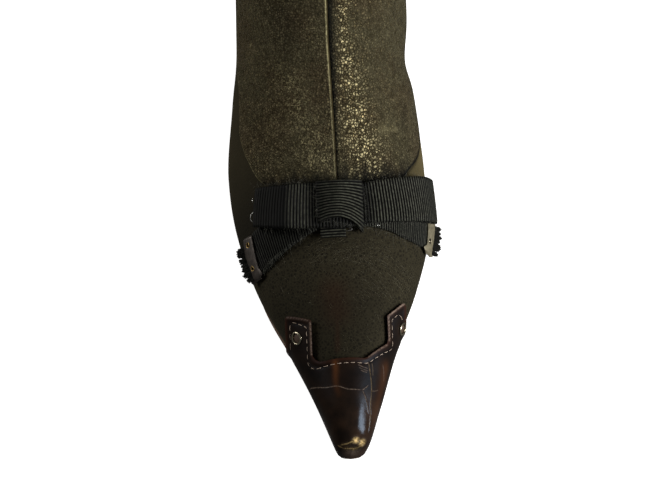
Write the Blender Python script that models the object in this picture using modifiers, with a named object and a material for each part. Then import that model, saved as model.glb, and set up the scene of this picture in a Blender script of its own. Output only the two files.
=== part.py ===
"""Right ankle boot with a long pointed toe, a notched toe cap and a ribbon bow over the vamp.

Metres, +Z up. The toe points to -Y and the inner side of the foot lies at +X.
"""

import math

import bmesh
import bpy
import numpy as np
from mathutils import Matrix, Vector

# Driving sizes of the last, in metres.
LENGTH = 0.285
BALL_WIDTH = 0.085
INSTEP_HEIGHT = 0.064
HEEL_LIFT = 0.062
SHAFT_HEIGHT = 0.200
TOE_SPRING = 0.004

# Thicknesses, and the space left where two pieces meet.
WALL = 0.0018
SOLE = 0.0035
SOLE_AT_SEAT = 0.0028
INSOLE = 0.0020
CAP = 0.0012
PANEL = 0.0005
RIBBON = 0.0006
CLIP = 0.0005
GAP = 0.0003

# Where the box of the whole boot has its middle, from the toe tip and from the shaft's middle.
MIDDLE_ALONG = 0.1428
MIDDLE_SIDE = 0.0016

# The sole line along the length, as shares of LENGTH: flat under the ball, level at the heel seat.
FLAT_FROM, FLAT_TO, SEAT_FROM = 0.263, 0.449, 0.895

# One row for each section of the foot, toe to heel. Along is a share of LENGTH, rise a share of
# INSTEP_HEIGHT over the sole line, side and half a share of BALL_WIDTH. Feather is the width at
# the sole over the widest width, widest is its height in the section, crown is how full the arch
# is (2 is an ellipse) and closed is how far the section rounds off behind.
FOOT_COLUMNS = (
    "ridge_along", "rise", "base_along", "ridge_side", "base_side",
    "half_outer", "half_inner", "feather", "widest", "crown", "closed",
)
FOOT_SECTIONS = (
    (0.003, 0.05, 0.003, 0.055, 0.055, 0.000, 0.000, 1.00, 0.40, 2.00, 0.00),
    (0.006, 0.12, 0.005, 0.055, 0.055, 0.045, 0.045, 0.86, 0.42, 2.00, 0.00),
    (0.012, 0.17, 0.010, 0.055, 0.055, 0.060, 0.065, 0.86, 0.42, 2.00, 0.00),
    (0.028, 0.23, 0.025, 0.055, 0.055, 0.080, 0.090, 0.86, 0.42, 2.00, 0.00),
    (0.077, 0.33, 0.074, 0.055, 0.055, 0.140, 0.145, 0.88, 0.42, 2.00, 0.00),
    (0.154, 0.45, 0.154, 0.050, 0.045, 0.245, 0.240, 0.90, 0.40, 1.95, 0.00),
    (0.246, 0.58, 0.253, 0.045, 0.035, 0.405, 0.385, 0.90, 0.38, 1.90, 0.00),
    (0.340, 0.75, 0.358, 0.040, 0.025, 0.500, 0.475, 0.88, 0.36, 1.85, 0.00),
    (0.421, 0.95, 0.456, 0.035, 0.010, 0.525, 0.480, 0.84, 0.36, 1.82, 0.00),
    (0.502, 1.06, 0.561, 0.025, -0.005, 0.480, 0.455, 0.70, 0.38, 1.80, 0.00),
    (0.535, 1.06, 0.618, 0.020, -0.015, 0.445, 0.420, 0.62, 0.39, 1.80, 0.00),
    (0.568, 0.99, 0.684, 0.020, -0.015, 0.435, 0.435, 0.60, 0.40, 1.80, 0.00),
    (0.621, 0.92, 0.814, 0.010, -0.010, 0.425, 0.425, 0.65, 0.42, 1.85, 0.10),
    (0.653, 1.07, 0.926, 0.005, 0.000, 0.412, 0.412, 0.67, 0.45, 1.90, 0.30),
    (0.669, 1.22, 0.967, 0.003, 0.000, 0.410, 0.410, 0.49, 0.46, 1.92, 0.50),
    (0.677, 1.38, 0.987, 0.002, 0.000, 0.409, 0.409, 0.25, 0.46, 1.93, 0.75),
    (0.682, 1.49, 0.993, 0.001, 0.000, 0.408, 0.408, 0.00, 0.47, 1.94, 1.00),
)

# One row for each section of the shaft, from the heel counter up to the collar. Heights are shares
# of SHAFT_HEIGHT.
SHAFT_COLUMNS = ("front_along", "front_height", "back_along", "back_height", "half", "widest")
SHAFT_SECTIONS = (
    (0.686, 0.840, 1.005, 0.460, 0.408, 0.48),
    (0.688, 0.880, 0.988, 0.625, 0.412, 0.50),
    (0.690, 0.930, 0.974, 0.800, 0.425, 0.50),
    (0.690, 1.000, 0.975, 0.990, 0.445, 0.50),
)
HEEL_BACK = len(FOOT_SECTIONS) - 1
COLLAR = HEEL_BACK + len(SHAFT_SECTIONS)

# Spans of the upper as first station, last station and the strips between them, and how many
# strips go round it from sole edge to sole edge.
FOOT_SPANS = ((0, 1, 2), (1, 3, 2), (3, 7, 8), (7, 9, 6), (9, 11, 4), (11, 13, 5), (13, 16, 4))
SHAFT_SPANS = ((16, 18, 4), (18, 20, 3))
STRIPS_ROUND = 28
INSOLE_STATIONS = (3.4, 15.6)
INSOLE_LIFT = 0.00045
# The outsole stands out past the feather line, and this share of its edge is square.
SOLE_EDGE = 0.0008
SOLE_SQUARE = 0.55
# Share of the way from the ridge down to the sole that lies above the widest line.
ARCH_SHARE = 0.62

# Edge of the shaft fronts: how far down each side they reach at a station.
SEAM_COLUMNS = ("station", "outer", "inner")
SHAFT_SEAM = (
    (7.00, 0.200, 0.220),
    (7.30, 0.270, 0.290),
    (7.60, 0.340, 0.345),
    (8.00, 0.390, 0.450),
    (8.40, 0.440, 0.525),
    (9.20, 0.485, 0.540),
    (10.10, 0.550, 0.540),
    (19.95, 0.550, 0.550),
)
SEAM_GROOVE = 0.004
PANEL_ROOT = 0.0010
PANEL_STRIPS = 8

# Edge of the toe cap seen from above, each corner as side from the shaft's middle, along from the
# toe tip, and radius.
CAP_EDGE = (
    (-0.0206, -0.0200, 0.0),
    (-0.0206, 0.0560, 0.0009),
    (-0.0097, 0.0507, 0.0009),
    (-0.0097, 0.0334, 0.0050),
    (0.0120, 0.0336, 0.0040),
    (0.0221, 0.0425, 0.0050),
    (0.0219, 0.0524, 0.0009),
    (0.0305, 0.0612, 0.0009),
    (0.0305, -0.0200, 0.0),
)
CAP_CORNER_STEPS = 5
CAP_SPANS = ((0, 3, 5), (3, 6.4, 8))
CAP_STRIPS = 28
CAP_LOWEST = 0.97
CAP_STAND = 0.0004
CAP_CUT_LOW, CAP_CUT_HIGH = -0.010, 0.060

# Eyelets: name, station and way on the cap, and the turned profile as radius and height.
EYELETS = (("eyelet_outer", 5.12, -0.400), ("eyelet_inner", 5.31, 0.520))
EYELET_BORE = 0.0021
EYELET_PROFILE = (
    (0.0015, -0.0008), (0.0018, -0.0008), (0.0018, 0.0), (0.0029, 0.0),
    (0.0029, 0.0002), (0.0024, 0.0006), (0.0018, 0.0006), (0.0015, 0.0003),
)
EYELET_SIDES = 20
BORE_SIDES = 16
BORE_DEPTH = 0.006

# The bow, one row for each fold. Way is the place across the vamp, front and back the stations of
# the ribbon's two edges, low and high how far its two layers stand off the upper.
LOOP_COLUMNS = ("way", "front", "back", "low", "high")
BOW_LOOPS = (
    (-0.375, 6.83, 7.41, 0.0031, 0.0031),
    (-0.360, 6.82, 7.39, 0.0022, 0.0040),
    (-0.320, 6.79, 7.35, 0.0019, 0.0046),
    (-0.220, 6.70, 7.26, 0.0022, 0.0048),
    (-0.100, 6.61, 7.18, 0.0032, 0.0042),
    (0.010, 6.58, 7.17, 0.0032, 0.0042),
    (0.120, 6.66, 7.28, 0.0032, 0.0042),
    (0.250, 6.74, 7.43, 0.0025, 0.0050),
    (0.400, 6.86, 7.56, 0.0026, 0.0054),
    (0.500, 6.93, 7.64, 0.0030, 0.0050),
    (0.525, 6.95, 7.66, 0.0040, 0.0040),
)
RIBBON_STRIPS, FOLD_STRIPS = 3, 2
KNOT_WAYS = (-0.090, 0.110)
KNOT_FRONT, KNOT_BACK = 6.50, 7.30
KNOT_LOW, KNOT_HIGH, KNOT_CORNER = 0.0011, 0.0052, 0.0009
KNOT_STRIPS, KNOT_CORNER_STEPS = 7, 3
TAIL_COLUMNS = ("way", "front", "back", "stand")
BOW_TAILS = {
    "bow_tail_outer": (
        (-0.020, 6.60, 7.12, 0.0022),
        (-0.100, 6.58, 7.07, 0.0022),
        (-0.200, 6.45, 7.01, 0.00120),
        (-0.375, 6.22, 6.83, 0.00075),
        (-0.520, 6.17, 6.73, 0.00075),
    ),
    "bow_tail_inner": (
        (0.040, 6.62, 7.14, 0.0022),
        (0.120, 6.62, 7.16, 0.0022),
        (0.230, 6.60, 7.13, 0.00110),
        (0.380, 6.53, 7.00, 0.00075),
        (0.560, 6.44, 6.88, 0.00075),
    ),
}
FRINGE_STRIPS = 9
FRINGE_REACH = 0.045
FRINGE_SHARE = 0.62

# The clips over the ribbon ends: name, ribbon end, ways of the two long edges, stations of the pinholes.
CLIPS = (
    ("clip_outer", "bow_tail_outer", -0.434, -0.512, (6.26, 6.62)),
    ("clip_inner", "bow_tail_inner", 0.474, 0.552, (6.60, 6.84)),
)
CLIP_STAND = 0.00175
CLIP_OVERHANG = 0.040
CLIP_HOLE = 0.0007
CLIP_STRIPS_ALONG, CLIP_STRIPS_ACROSS = 5, 3

# Heel: level is the share of the way down, width a share of the seat. Breast and back tell how far
# the section's front and back draw in from the seat, as shares of LENGTH.
HEEL_COLUMNS = ("level", "width", "breast", "back")
HEEL_SECTIONS = (
    (0.00, 1.00, 0.000, 0.000),
    (0.10, 0.92, 0.009, 0.004),
    (0.25, 0.80, 0.022, 0.009),
    (0.45, 0.67, 0.034, 0.015),
    (0.70, 0.57, 0.042, 0.020),
    (1.00, 0.52, 0.046, 0.023),
)
BREAST_STATION = 11.9
HEEL_INSET = 0.0010
TOP_PIECE = 0.0048

# Points nearer than this are one, and the steps taken to find a direction on the upper.
MERGE = 1e-6
STEP = 1e-3
NEAR_TIP = 0.05


def clear_scene():
    """Starts from an empty scene."""
    for old in list(bpy.data.objects):
        bpy.data.objects.remove(old)


def table(columns, rows):
    """The rows of a table as one array for each named column."""
    return {name: np.array(values, float) for name, values in zip(columns, zip(*rows))}


def smooth(rows, places):
    """A curve through the rows, one unit apart, that never swings past them."""
    rows = np.asarray(rows, float)
    rise = np.diff(rows, axis=0)
    before, after = rise[:-1], rise[1:]
    mean = (before + after) / 2
    most = 3 * np.minimum(np.abs(before), np.abs(after))
    inner = np.where(before * after > 0, np.clip(mean, -most, most), 0.0)
    slope = np.concatenate([rise[:1], inner, rise[-1:]])
    places = np.asarray(places, float)
    row = np.clip(np.floor(places).astype(int), 0, len(rows) - 2)
    f = (places - row)[..., None]
    start = rows[row] * (2 * f**3 - 3 * f**2 + 1) + slope[row] * (f**3 - 2 * f**2 + f)
    end = rows[row + 1] * (3 * f**2 - 2 * f**3) + slope[row + 1] * (f**3 - f**2)
    return start + end


def between(rows, at, columns):
    """Columns of a table whose first column is the place, read smoothly at a place."""
    rows = np.asarray(rows, float)
    index = np.interp(at, *(np.array(v) for v in ordered(rows[:, 0])))
    return dict(zip(columns, np.moveaxis(smooth(rows, index), -1, 0)))


def folds(rows, strips, columns):
    """Columns of a table read smoothly at its rows and at even steps between them."""
    places = np.linspace(0, len(rows) - 1, strips * (len(rows) - 1) + 1)
    return dict(zip(columns, smooth(rows, places).T))


def there_and_back(first, second):
    """Values out along one layer of a loop and home along the other."""
    return np.concatenate([first, second[-2:0:-1]])


def ordered(places):
    """Places and their row numbers, rising, so that either direction of a table can be read."""
    numbers = np.arange(len(places), dtype=float)
    if places[0] > places[-1]:
        return places[::-1], numbers[::-1]
    return places, numbers


def sole_line(along):
    """Height of the outsole's top at a distance from the toe tip."""
    share = np.asarray(along, float) / LENGTH
    toe = np.clip((FLAT_FROM - share) / FLAT_FROM, 0, None)
    climb = np.clip((share - FLAT_TO) / (SEAT_FROM - FLAT_TO), 0, 1)
    return SOLE + TOE_SPRING * toe**2 + HEEL_LIFT * climb**2 * (3 - 2 * climb)


def last_sections():
    """Every section of the boot in metres: ridge and base places, widths and shape."""
    foot = table(FOOT_COLUMNS, FOOT_SECTIONS)
    base_along = foot["base_along"] * LENGTH
    base_height = sole_line(base_along) + GAP
    foot_rows = np.stack([
        foot["ridge_along"] * LENGTH,
        base_height + foot["rise"] * INSTEP_HEIGHT,
        base_along,
        base_height,
        foot["ridge_side"] * BALL_WIDTH,
        foot["base_side"] * BALL_WIDTH,
        foot["half_outer"] * BALL_WIDTH,
        foot["half_inner"] * BALL_WIDTH,
        foot["feather"],
        foot["widest"],
        foot["crown"],
        foot["closed"],
    ], axis=1)
    shaft = table(SHAFT_COLUMNS, SHAFT_SECTIONS)
    zero = np.zeros(len(SHAFT_SECTIONS))
    shaft_rows = np.stack([
        shaft["front_along"] * LENGTH,
        shaft["front_height"] * SHAFT_HEIGHT,
        shaft["back_along"] * LENGTH,
        shaft["back_height"] * SHAFT_HEIGHT,
        zero,
        zero,
        shaft["half"] * BALL_WIDTH,
        shaft["half"] * BALL_WIDTH,
        zero,
        shaft["widest"],
        zero + 2,
        zero + 1,
    ], axis=1)
    return np.concatenate([foot_rows, shaft_rows])


SECTIONS = last_sections()


def last_point(station, way):
    """Points of the upper's outside. Way runs from -1 at the outer sole edge, 0 on the ridge, to 1."""
    station, way = np.broadcast_arrays(np.asarray(station, float), np.asarray(way, float))
    (ridge_along, ridge_height, base_along, base_height, ridge_side, base_side, half_outer,
     half_inner, feather, widest, crown, closed) = np.moveaxis(smooth(SECTIONS, station), -1, 0)
    on_sole = station <= HEEL_BACK
    base_height = np.where(on_sole, sole_line(base_along) + GAP, base_height)
    half = np.where(way < 0, half_outer, half_inner)
    down = np.abs(way)
    arch = np.clip(down / ARCH_SHARE, 0, 1) * math.pi / 2
    tuck = math.pi / 2 * (1 - np.clip((down - ARCH_SHARE) / (1 - ARCH_SHARE), 0, 1))
    above = down <= ARCH_SHARE
    full = 2 / crown
    out = np.where(
        above,
        half * np.sin(arch) ** full,
        half * (feather + (1 - feather) * np.sin(tuck)),
    )
    height = np.where(
        above,
        widest + (1 - widest) * np.clip(np.cos(arch), 0, 1) ** full,
        widest * ((1 - closed) * tuck * 2 / math.pi + closed * (1 - np.cos(tuck))),
    )
    side = base_side + (ridge_side - base_side) * height + np.sign(way) * out
    along = base_along + (ridge_along - base_along) * height
    up = base_height + (ridge_height - base_height) * height
    return np.stack([side - MIDDLE_SIDE, along - MIDDLE_ALONG, up], axis=-1)


def last_normal(station, way):
    """Outward directions of the upper's outside."""
    station, way = np.broadcast_arrays(np.asarray(station, float), np.asarray(way, float))
    near = np.maximum(station, NEAR_TIP)
    ahead = last_point(np.minimum(near + STEP, COLLAR), way)
    behind = last_point(near - STEP, way)
    right = last_point(near, np.minimum(way + STEP, 1))
    left = last_point(near, np.maximum(way - STEP, -1))
    normal = np.cross(right - left, ahead - behind)
    normal[..., 0] = np.where(station <= 0, 0.0, normal[..., 0])
    return normal / np.linalg.norm(normal, axis=-1, keepdims=True)


def upper_at(station, way, stand=0.0):
    """Points that stand off the upper's outside by a distance."""
    stand = np.asarray(stand, float)[..., None]
    return last_point(station, way) + stand * last_normal(station, way)


def spread(spans):
    """Stations along the upper from a table of spans."""
    stations = [spans[0][0]]
    for first, last, strips in spans:
        stations.extend(np.linspace(first, last, strips + 1)[1:])
    return np.array(stations, float)


def collection(name):
    """A collection of the scene."""
    made = bpy.data.collections.new(name)
    bpy.context.scene.collection.children.link(made)
    return made


def material(name, colour, rough, metal=0.0):
    """A Principled material."""
    made = bpy.data.materials.new(name)
    made.use_nodes = True
    shader = made.node_tree.nodes["Principled BSDF"]
    shader.inputs["Base Color"].default_value = (*colour, 1.0)
    shader.inputs["Roughness"].default_value = rough
    shader.inputs["Metallic"].default_value = metal
    return made


def add(name, bm, group, look=None):
    """Turns a bmesh into a named object of a collection."""
    bmesh.ops.remove_doubles(bm, verts=bm.verts, dist=MERGE)
    mesh = bpy.data.meshes.new(name)
    bm.to_mesh(mesh)
    bm.free()
    made = bpy.data.objects.new(name, mesh)
    group.objects.link(made)
    if look:
        mesh.materials.append(look)
    return made


def loft(rows, ring=False):
    """Faces between rows of points. A ring joins the end of each row to its start."""
    bm = bmesh.new()
    grid = [[bm.verts.new(point) for point in row] for row in rows]
    for first, second in zip(grid, grid[1:]):
        count = len(first)
        for j in range(count if ring else count - 1):
            k = (j + 1) % count
            bm.faces.new((first[j], first[k], second[k], second[j]))
    return bm


def thicken(piece, thickness, offset):
    """Gives an open surface its thickness. Offset is -1 for inside, 0 for both sides, 1 for outside."""
    shell = piece.modifiers.new("thickness", "SOLIDIFY")
    shell.thickness = thickness
    shell.offset = offset
    shell.use_even_offset = True
    shell.use_quality_normals = True


def cut(piece, other, operation):
    """A Boolean of a piece with a hidden form."""
    boolean = piece.modifiers.new(other.name, "BOOLEAN")
    boolean.operation = operation
    boolean.solver = "EXACT"
    boolean.object = other


def hidden(piece):
    """Marks a form that only cuts or joins."""
    piece.hide_render = True
    piece.display_type = "WIRE"
    return piece


def make_upper(parts, forms, look):
    """The hollow upper with the shaft fronts as a step in its wall."""
    stations = spread(FOOT_SPANS + SHAFT_SPANS)
    ways = np.linspace(-1, 1, STRIPS_ROUND + 1)[None, :]
    upper = add("upper", loft(last_point(stations[:, None], ways)), parts, look)
    thicken(upper, WALL, -1)
    for name, sign in (("front_outer", -1), ("front_inner", 1)):
        foot, top = SHAFT_SEAM[0][0], SHAFT_SEAM[-1][0]
        rows = np.append(stations[(stations >= foot) & (stations < top)], top)
        seam = between(SHAFT_SEAM, rows, SEAM_COLUMNS)
        reach = seam["outer" if sign < 0 else "inner"][:, None]
        share = np.linspace(0, 1, PANEL_STRIPS + 1)[None, :]
        across = sign * (SEAM_GROOVE + (reach - SEAM_GROOVE) * share)
        if sign < 0:
            across = across[:, ::-1]
        panel = add(name, loft(upper_at(rows[:, None], across, PANEL + 0 * across)), forms)
        thicken(panel, PANEL + PANEL_ROOT, -1)
        cut(upper, hidden(panel), "UNION")
    return upper


def rounded(corners, steps):
    """A closed outline with each corner rounded to its own radius."""
    outline = []
    count = len(corners)
    for i in range(count):
        here = Vector(corners[i][:2])
        radius = corners[i][2]
        before = (Vector(corners[i - 1][:2]) - here).normalized()
        after = (Vector(corners[(i + 1) % count][:2]) - here).normalized()
        if radius <= 0:
            outline.append(here)
            continue
        half = before.angle(after) / 2
        reach = radius / math.tan(half)
        middle = here + (before + after).normalized() * radius / math.sin(half)
        first, last = here + before * reach, here + after * reach
        for step in range(steps + 1):
            chord = first.lerp(last, step / steps) - middle
            outline.append(middle + chord.normalized() * radius)
    return outline


def prism(name, outline, low, high, forms):
    """An upright form over an outline, used as a cutter."""
    bm = bmesh.new()
    corners = [bm.verts.new((p[0] - MIDDLE_SIDE, p[1] - MIDDLE_ALONG, low)) for p in outline]
    floor = bm.faces.new(corners)
    raised = bmesh.ops.extrude_face_region(bm, geom=[floor])
    lifted = [v for v in raised["geom"] if isinstance(v, bmesh.types.BMVert)]
    bmesh.ops.translate(bm, verts=lifted, vec=(0, 0, high - low))
    bmesh.ops.recalc_face_normals(bm, faces=bm.faces)
    return hidden(add(name, bm, forms))


def placed(station, way, stand):
    """A frame on the upper: its Z points outwards."""
    origin = Vector(upper_at(station, way, stand))
    turn = Vector(last_normal(station, way)).to_track_quat("Z", "Y")
    return Matrix.Translation(origin) @ turn.to_matrix().to_4x4()


def pin(name, frame, radius, forms):
    """A round cutter centred on a frame."""
    bm = bmesh.new()
    bmesh.ops.create_cone(
        bm, cap_ends=True, segments=BORE_SIDES, radius1=radius, radius2=radius, depth=BORE_DEPTH,
        matrix=frame,
    )
    return hidden(add(name, bm, forms))


def make_cap(parts, forms, look):
    """The toe cap: a shell of the upper's own form, cut to its notched edge and bored for eyelets."""
    stations = spread(CAP_SPANS)[:, None]
    ways = np.linspace(-CAP_LOWEST, CAP_LOWEST, CAP_STRIPS + 1)[None, :]
    cap = add("toe_cap", loft(upper_at(stations, ways, CAP_STAND + 0 * stations * ways)), parts, look)
    thicken(cap, CAP, 1)
    outline = rounded(CAP_EDGE, CAP_CORNER_STEPS)
    cut(cap, prism("cap_edge", outline, CAP_CUT_LOW, CAP_CUT_HIGH, forms), "INTERSECT")
    for name, station, way in EYELETS:
        frame = placed(station, way, CAP_STAND + CAP)
        cut(cap, pin(name + "_bore", frame, EYELET_BORE, forms), "DIFFERENCE")


def make_eyelet(name, station, way, parts, look):
    """A turned eyelet whose flange lies on the cap."""
    frame = placed(station, way, CAP_STAND + CAP + GAP)
    rows = []
    for side in range(EYELET_SIDES):
        turn = Matrix.Rotation(2 * math.pi * side / EYELET_SIDES, 4, "Z")
        rows.append([frame @ turn @ Vector((r, 0, h)) for r, h in EYELET_PROFILE])
    bm = loft(rows + rows[:1], ring=True)
    bmesh.ops.remove_doubles(bm, verts=bm.verts, dist=MERGE)
    bmesh.ops.recalc_face_normals(bm, faces=bm.faces)
    add(name, bm, parts, look)


def make_loops(parts, look):
    """The ribbon laid round in one flattened ring of two loops."""
    read = folds(BOW_LOOPS, FOLD_STRIPS, LOOP_COLUMNS)
    ways, fronts, backs = (there_and_back(read[c], read[c]) for c in ("way", "front", "back"))
    stands = there_and_back(read["low"], read["high"])
    rows = []
    for share in np.linspace(0, 1, RIBBON_STRIPS + 1):
        rows.append(upper_at(fronts + (backs - fronts) * share, ways, stands))
    loops = add("bow_loops", loft(rows, ring=True), parts, look)
    thicken(loops, RIBBON, 0)


def make_knot(parts, look):
    """The band wound round the middle of the bow."""
    per_metre = (KNOT_BACK - KNOT_FRONT) / np.linalg.norm(
        last_point(KNOT_BACK, 0) - last_point(KNOT_FRONT, 0)
    )
    corner = KNOT_CORNER * per_metre
    path = []
    for station, stand, start in (
        (KNOT_BACK, KNOT_LOW, 270), (KNOT_BACK, KNOT_HIGH, 0),
        (KNOT_FRONT, KNOT_HIGH, 90), (KNOT_FRONT, KNOT_LOW, 180),
    ):
        for step in range(KNOT_CORNER_STEPS + 1):
            angle = math.radians(start + 90 * step / KNOT_CORNER_STEPS)
            inward_along = -1 if station == KNOT_BACK else 1
            inward_up = 1 if stand == KNOT_LOW else -1
            path.append((
                station + corner * (inward_along + math.cos(angle)),
                stand + KNOT_CORNER * (inward_up + math.sin(angle)),
            ))
    path = np.array(path)
    rows = []
    for way in np.linspace(*KNOT_WAYS, KNOT_STRIPS + 1):
        rows.append(upper_at(path[:, 0], way, path[:, 1]))
    knot = add("bow_knot", loft(rows, ring=True), parts, look)
    thicken(knot, RIBBON, 0)


def make_tail(name, rows, parts, look):
    """A ribbon end with its cut fringe."""
    last = rows[-1][0]
    tip = last + math.copysign(FRINGE_REACH, last)
    read = folds(rows, FOLD_STRIPS, TAIL_COLUMNS)
    shares = []
    for strip in range(FRINGE_STRIPS):
        shares.extend([strip / FRINGE_STRIPS, (strip + FRINGE_SHARE) / FRINGE_STRIPS])
    shares = np.array(shares) / shares[-1]
    points = []
    for way, front, back, stand in zip(*(read[column] for column in TAIL_COLUMNS)):
        points.append(upper_at(front + (back - front) * shares, way, stand + 0 * shares))
    front, back, stand = rows[-1][1:]
    points.append(upper_at(front + (back - front) * shares, tip, stand + 0 * shares))
    if last < 0:
        points = [row[::-1] for row in points]
    bm = loft(points)
    bm.faces.ensure_lookup_table()
    strips = len(shares) - 1
    slits = [bm.faces[len(bm.faces) - strips + j] for j in range(1, strips, 2)]
    bmesh.ops.delete(bm, geom=slits, context="FACES")
    tail = add(name, bm, parts, look)
    thicken(tail, RIBBON, 0)


def make_clip(name, tail, inside, outside, holes, parts, forms, look):
    """A metal strip bent over both edges of a ribbon end, with its pinholes."""
    read = between(BOW_TAILS[tail], (inside + outside) / 2, TAIL_COLUMNS)
    front, back = float(read["front"]), float(read["back"])
    foot = float(read["stand"])
    path = np.array([
        (front - CLIP_OVERHANG, foot),
        (front - CLIP_OVERHANG, CLIP_STAND - CLIP),
        *((station, CLIP_STAND) for station in np.linspace(
            front - CLIP_OVERHANG / 2, back + CLIP_OVERHANG / 2, CLIP_STRIPS_ALONG + 1
        )),
        (back + CLIP_OVERHANG, CLIP_STAND - CLIP),
        (back + CLIP_OVERHANG, foot),
    ])
    rows = []
    for way in np.linspace(min(inside, outside), max(inside, outside), CLIP_STRIPS_ACROSS + 1):
        rows.append(upper_at(path[:, 0], way, path[:, 1])[::-1])
    clip = add(name, loft(rows), parts, look)
    thicken(clip, CLIP, 0)
    for number, station in enumerate(holes):
        frame = placed(station, (inside + outside) / 2, CLIP_STAND)
        cut(clip, pin(f"{name}_hole_{number}", frame, CLIP_HOLE, forms), "DIFFERENCE")


def sole_outline(out, first=0, last=HEEL_BACK):
    """The feather line moved outwards by a distance, between two stations: outer side, inner side."""
    stations = spread(FOOT_SPANS)
    sides = []
    for way in (-1, 1):
        sides.append(last_point(stations, way)[:, :2])
    loop = np.concatenate([sides[0], sides[1][::-1]])
    ahead, behind = np.roll(loop, -1, axis=0), np.roll(loop, 1, axis=0)
    joined = np.linalg.norm(loop - ahead, axis=1) < MERGE
    ahead[joined] = np.roll(loop, -2, axis=0)[joined]
    joined = np.linalg.norm(loop - behind, axis=1) < MERGE
    behind[joined] = np.roll(loop, 2, axis=0)[joined]
    run = ahead - behind
    run /= np.linalg.norm(run, axis=1, keepdims=True)
    loop = loop + out * np.stack([-run[:, 1], run[:, 0]], axis=1)
    count = len(stations)
    kept = (stations >= first) & (stations <= last)
    return loop[:count][kept], loop[count:][::-1][kept]


def solid(name, rings, parts, look):
    """A solid through rings, each an outer side from front to back and the inner side returning."""
    bm = loft(rings, ring=True)
    bm.verts.ensure_lookup_table()
    count = len(rings[0])
    half = count // 2
    for level in (0, len(rings) - 1):
        ring = [bm.verts[level * count + j] for j in range(count)]
        for j in range(half - 1):
            bm.faces.new((ring[j], ring[j + 1], ring[count - 2 - j], ring[count - 1 - j]))
    bmesh.ops.remove_doubles(bm, verts=bm.verts, dist=MERGE)
    bmesh.ops.dissolve_degenerate(bm, edges=bm.edges, dist=MERGE)
    bmesh.ops.recalc_face_normals(bm, faces=bm.faces)
    add(name, bm, parts, look)


def plate(name, layers, parts, look):
    """A solid between outlines laid one under the other, each with its own height function."""
    rings = []
    for (outer, inner), height in layers:
        points = np.concatenate([outer, inner[::-1]])
        rings.append(np.column_stack([points, height(points[:, 1] + MIDDLE_ALONG)]))
    solid(name, rings, parts, look)


def sole_thickness(along):
    """The outsole thins from the ball to the heel seat."""
    share = np.clip((np.asarray(along) / LENGTH - FLAT_TO) / (SEAT_FROM - FLAT_TO), 0, 1)
    return SOLE + (SOLE_AT_SEAT - SOLE) * share


def make_soles(parts, sole_look, insole_look):
    """The outsole under the feather line and the insole inside it."""
    edge, rim = sole_outline(SOLE_EDGE), sole_outline(-SOLE_EDGE / 2)
    plate("outsole", (
        (edge, sole_line),
        (edge, lambda along: sole_line(along) - SOLE_SQUARE * sole_thickness(along)),
        (rim, lambda along: sole_line(along) - sole_thickness(along)),
    ), parts, sole_look)
    board = sole_outline(-(WALL + 2 * GAP), *INSOLE_STATIONS)
    plate("insole", (
        (board, lambda along: sole_line(along) + INSOLE_LIFT + INSOLE),
        (board, lambda along: sole_line(along) + INSOLE_LIFT),
    ), parts, insole_look)


def make_heel(parts, heel_look, rubber_look):
    """The covered heel under the seat and the piece it stands on."""
    outer, inner = sole_outline(-HEEL_INSET, BREAST_STATION)
    seat = np.concatenate([outer, inner[::-1]])
    share = (seat[:, 1] - seat[:, 1].min()) / np.ptp(seat[:, 1])
    middle = (seat[:, 0].min() + seat[:, 0].max()) / 2
    heel = table(HEEL_COLUMNS, HEEL_SECTIONS)
    drawn = np.outer(heel["breast"], 1 - share) - np.outer(heel["back"], share)
    along = seat[:, 1] + MIDDLE_ALONG + drawn * LENGTH
    side = middle + np.outer(heel["width"], seat[:, 0] - middle)
    top = sole_line(along[0]) - sole_thickness(along[0]) - GAP
    height = top + np.outer(heel["level"], TOP_PIECE + GAP - top)
    rings = np.stack([side, along - MIDDLE_ALONG, height], axis=-1)
    solid("heel", rings, parts, heel_look)
    tread = np.stack([rings[-1], rings[-1]])
    tread[:, :, 2] = [[TOP_PIECE], [0.0]]
    solid("heel_top_piece", tread, parts, rubber_look)


def build():
    """Makes every piece of the boot."""
    clear_scene()
    parts = collection("ankle_boot")
    forms = collection("forms")
    leather = material("olive_grain_leather", (0.060, 0.051, 0.030), 0.55)
    patent = material("embossed_cap_leather", (0.020, 0.012, 0.008), 0.25)
    ribbon = material("black_grosgrain", (0.012, 0.012, 0.010), 0.80)
    nickel = material("eyelet_metal", (0.55, 0.50, 0.42), 0.30, 1.0)
    steel = material("clip_metal", (0.30, 0.27, 0.22), 0.40, 1.0)
    sole = material("sole_leather", (0.110, 0.066, 0.036), 0.60)
    board = material("insole_leather", (0.230, 0.165, 0.100), 0.70)
    cover = material("heel_cover_leather", (0.045, 0.038, 0.024), 0.50)
    rubber = material("top_piece_rubber", (0.015, 0.015, 0.015), 0.80)
    make_upper(parts, forms, leather)
    make_cap(parts, forms, patent)
    for name, station, way in EYELETS:
        make_eyelet(name, station, way, parts, nickel)
    make_loops(parts, ribbon)
    make_knot(parts, ribbon)
    for name, rows in BOW_TAILS.items():
        make_tail(name, rows, parts, ribbon)
    for clip in CLIPS:
        make_clip(*clip, parts, forms, steel)
    make_soles(parts, sole, board)
    make_heel(parts, cover, rubber)


build()
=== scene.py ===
"""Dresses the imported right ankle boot: aged olive leather, a glossy embossed toe cap and a black ribbon bow.

Metres, +Z up. The toe points to -Y and the inner side of the foot lies at +X.
"""

import math

import bmesh
import bpy
import numpy as np
from mathutils import Matrix, Vector
from mathutils.bvhtree import BVHTree


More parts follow.
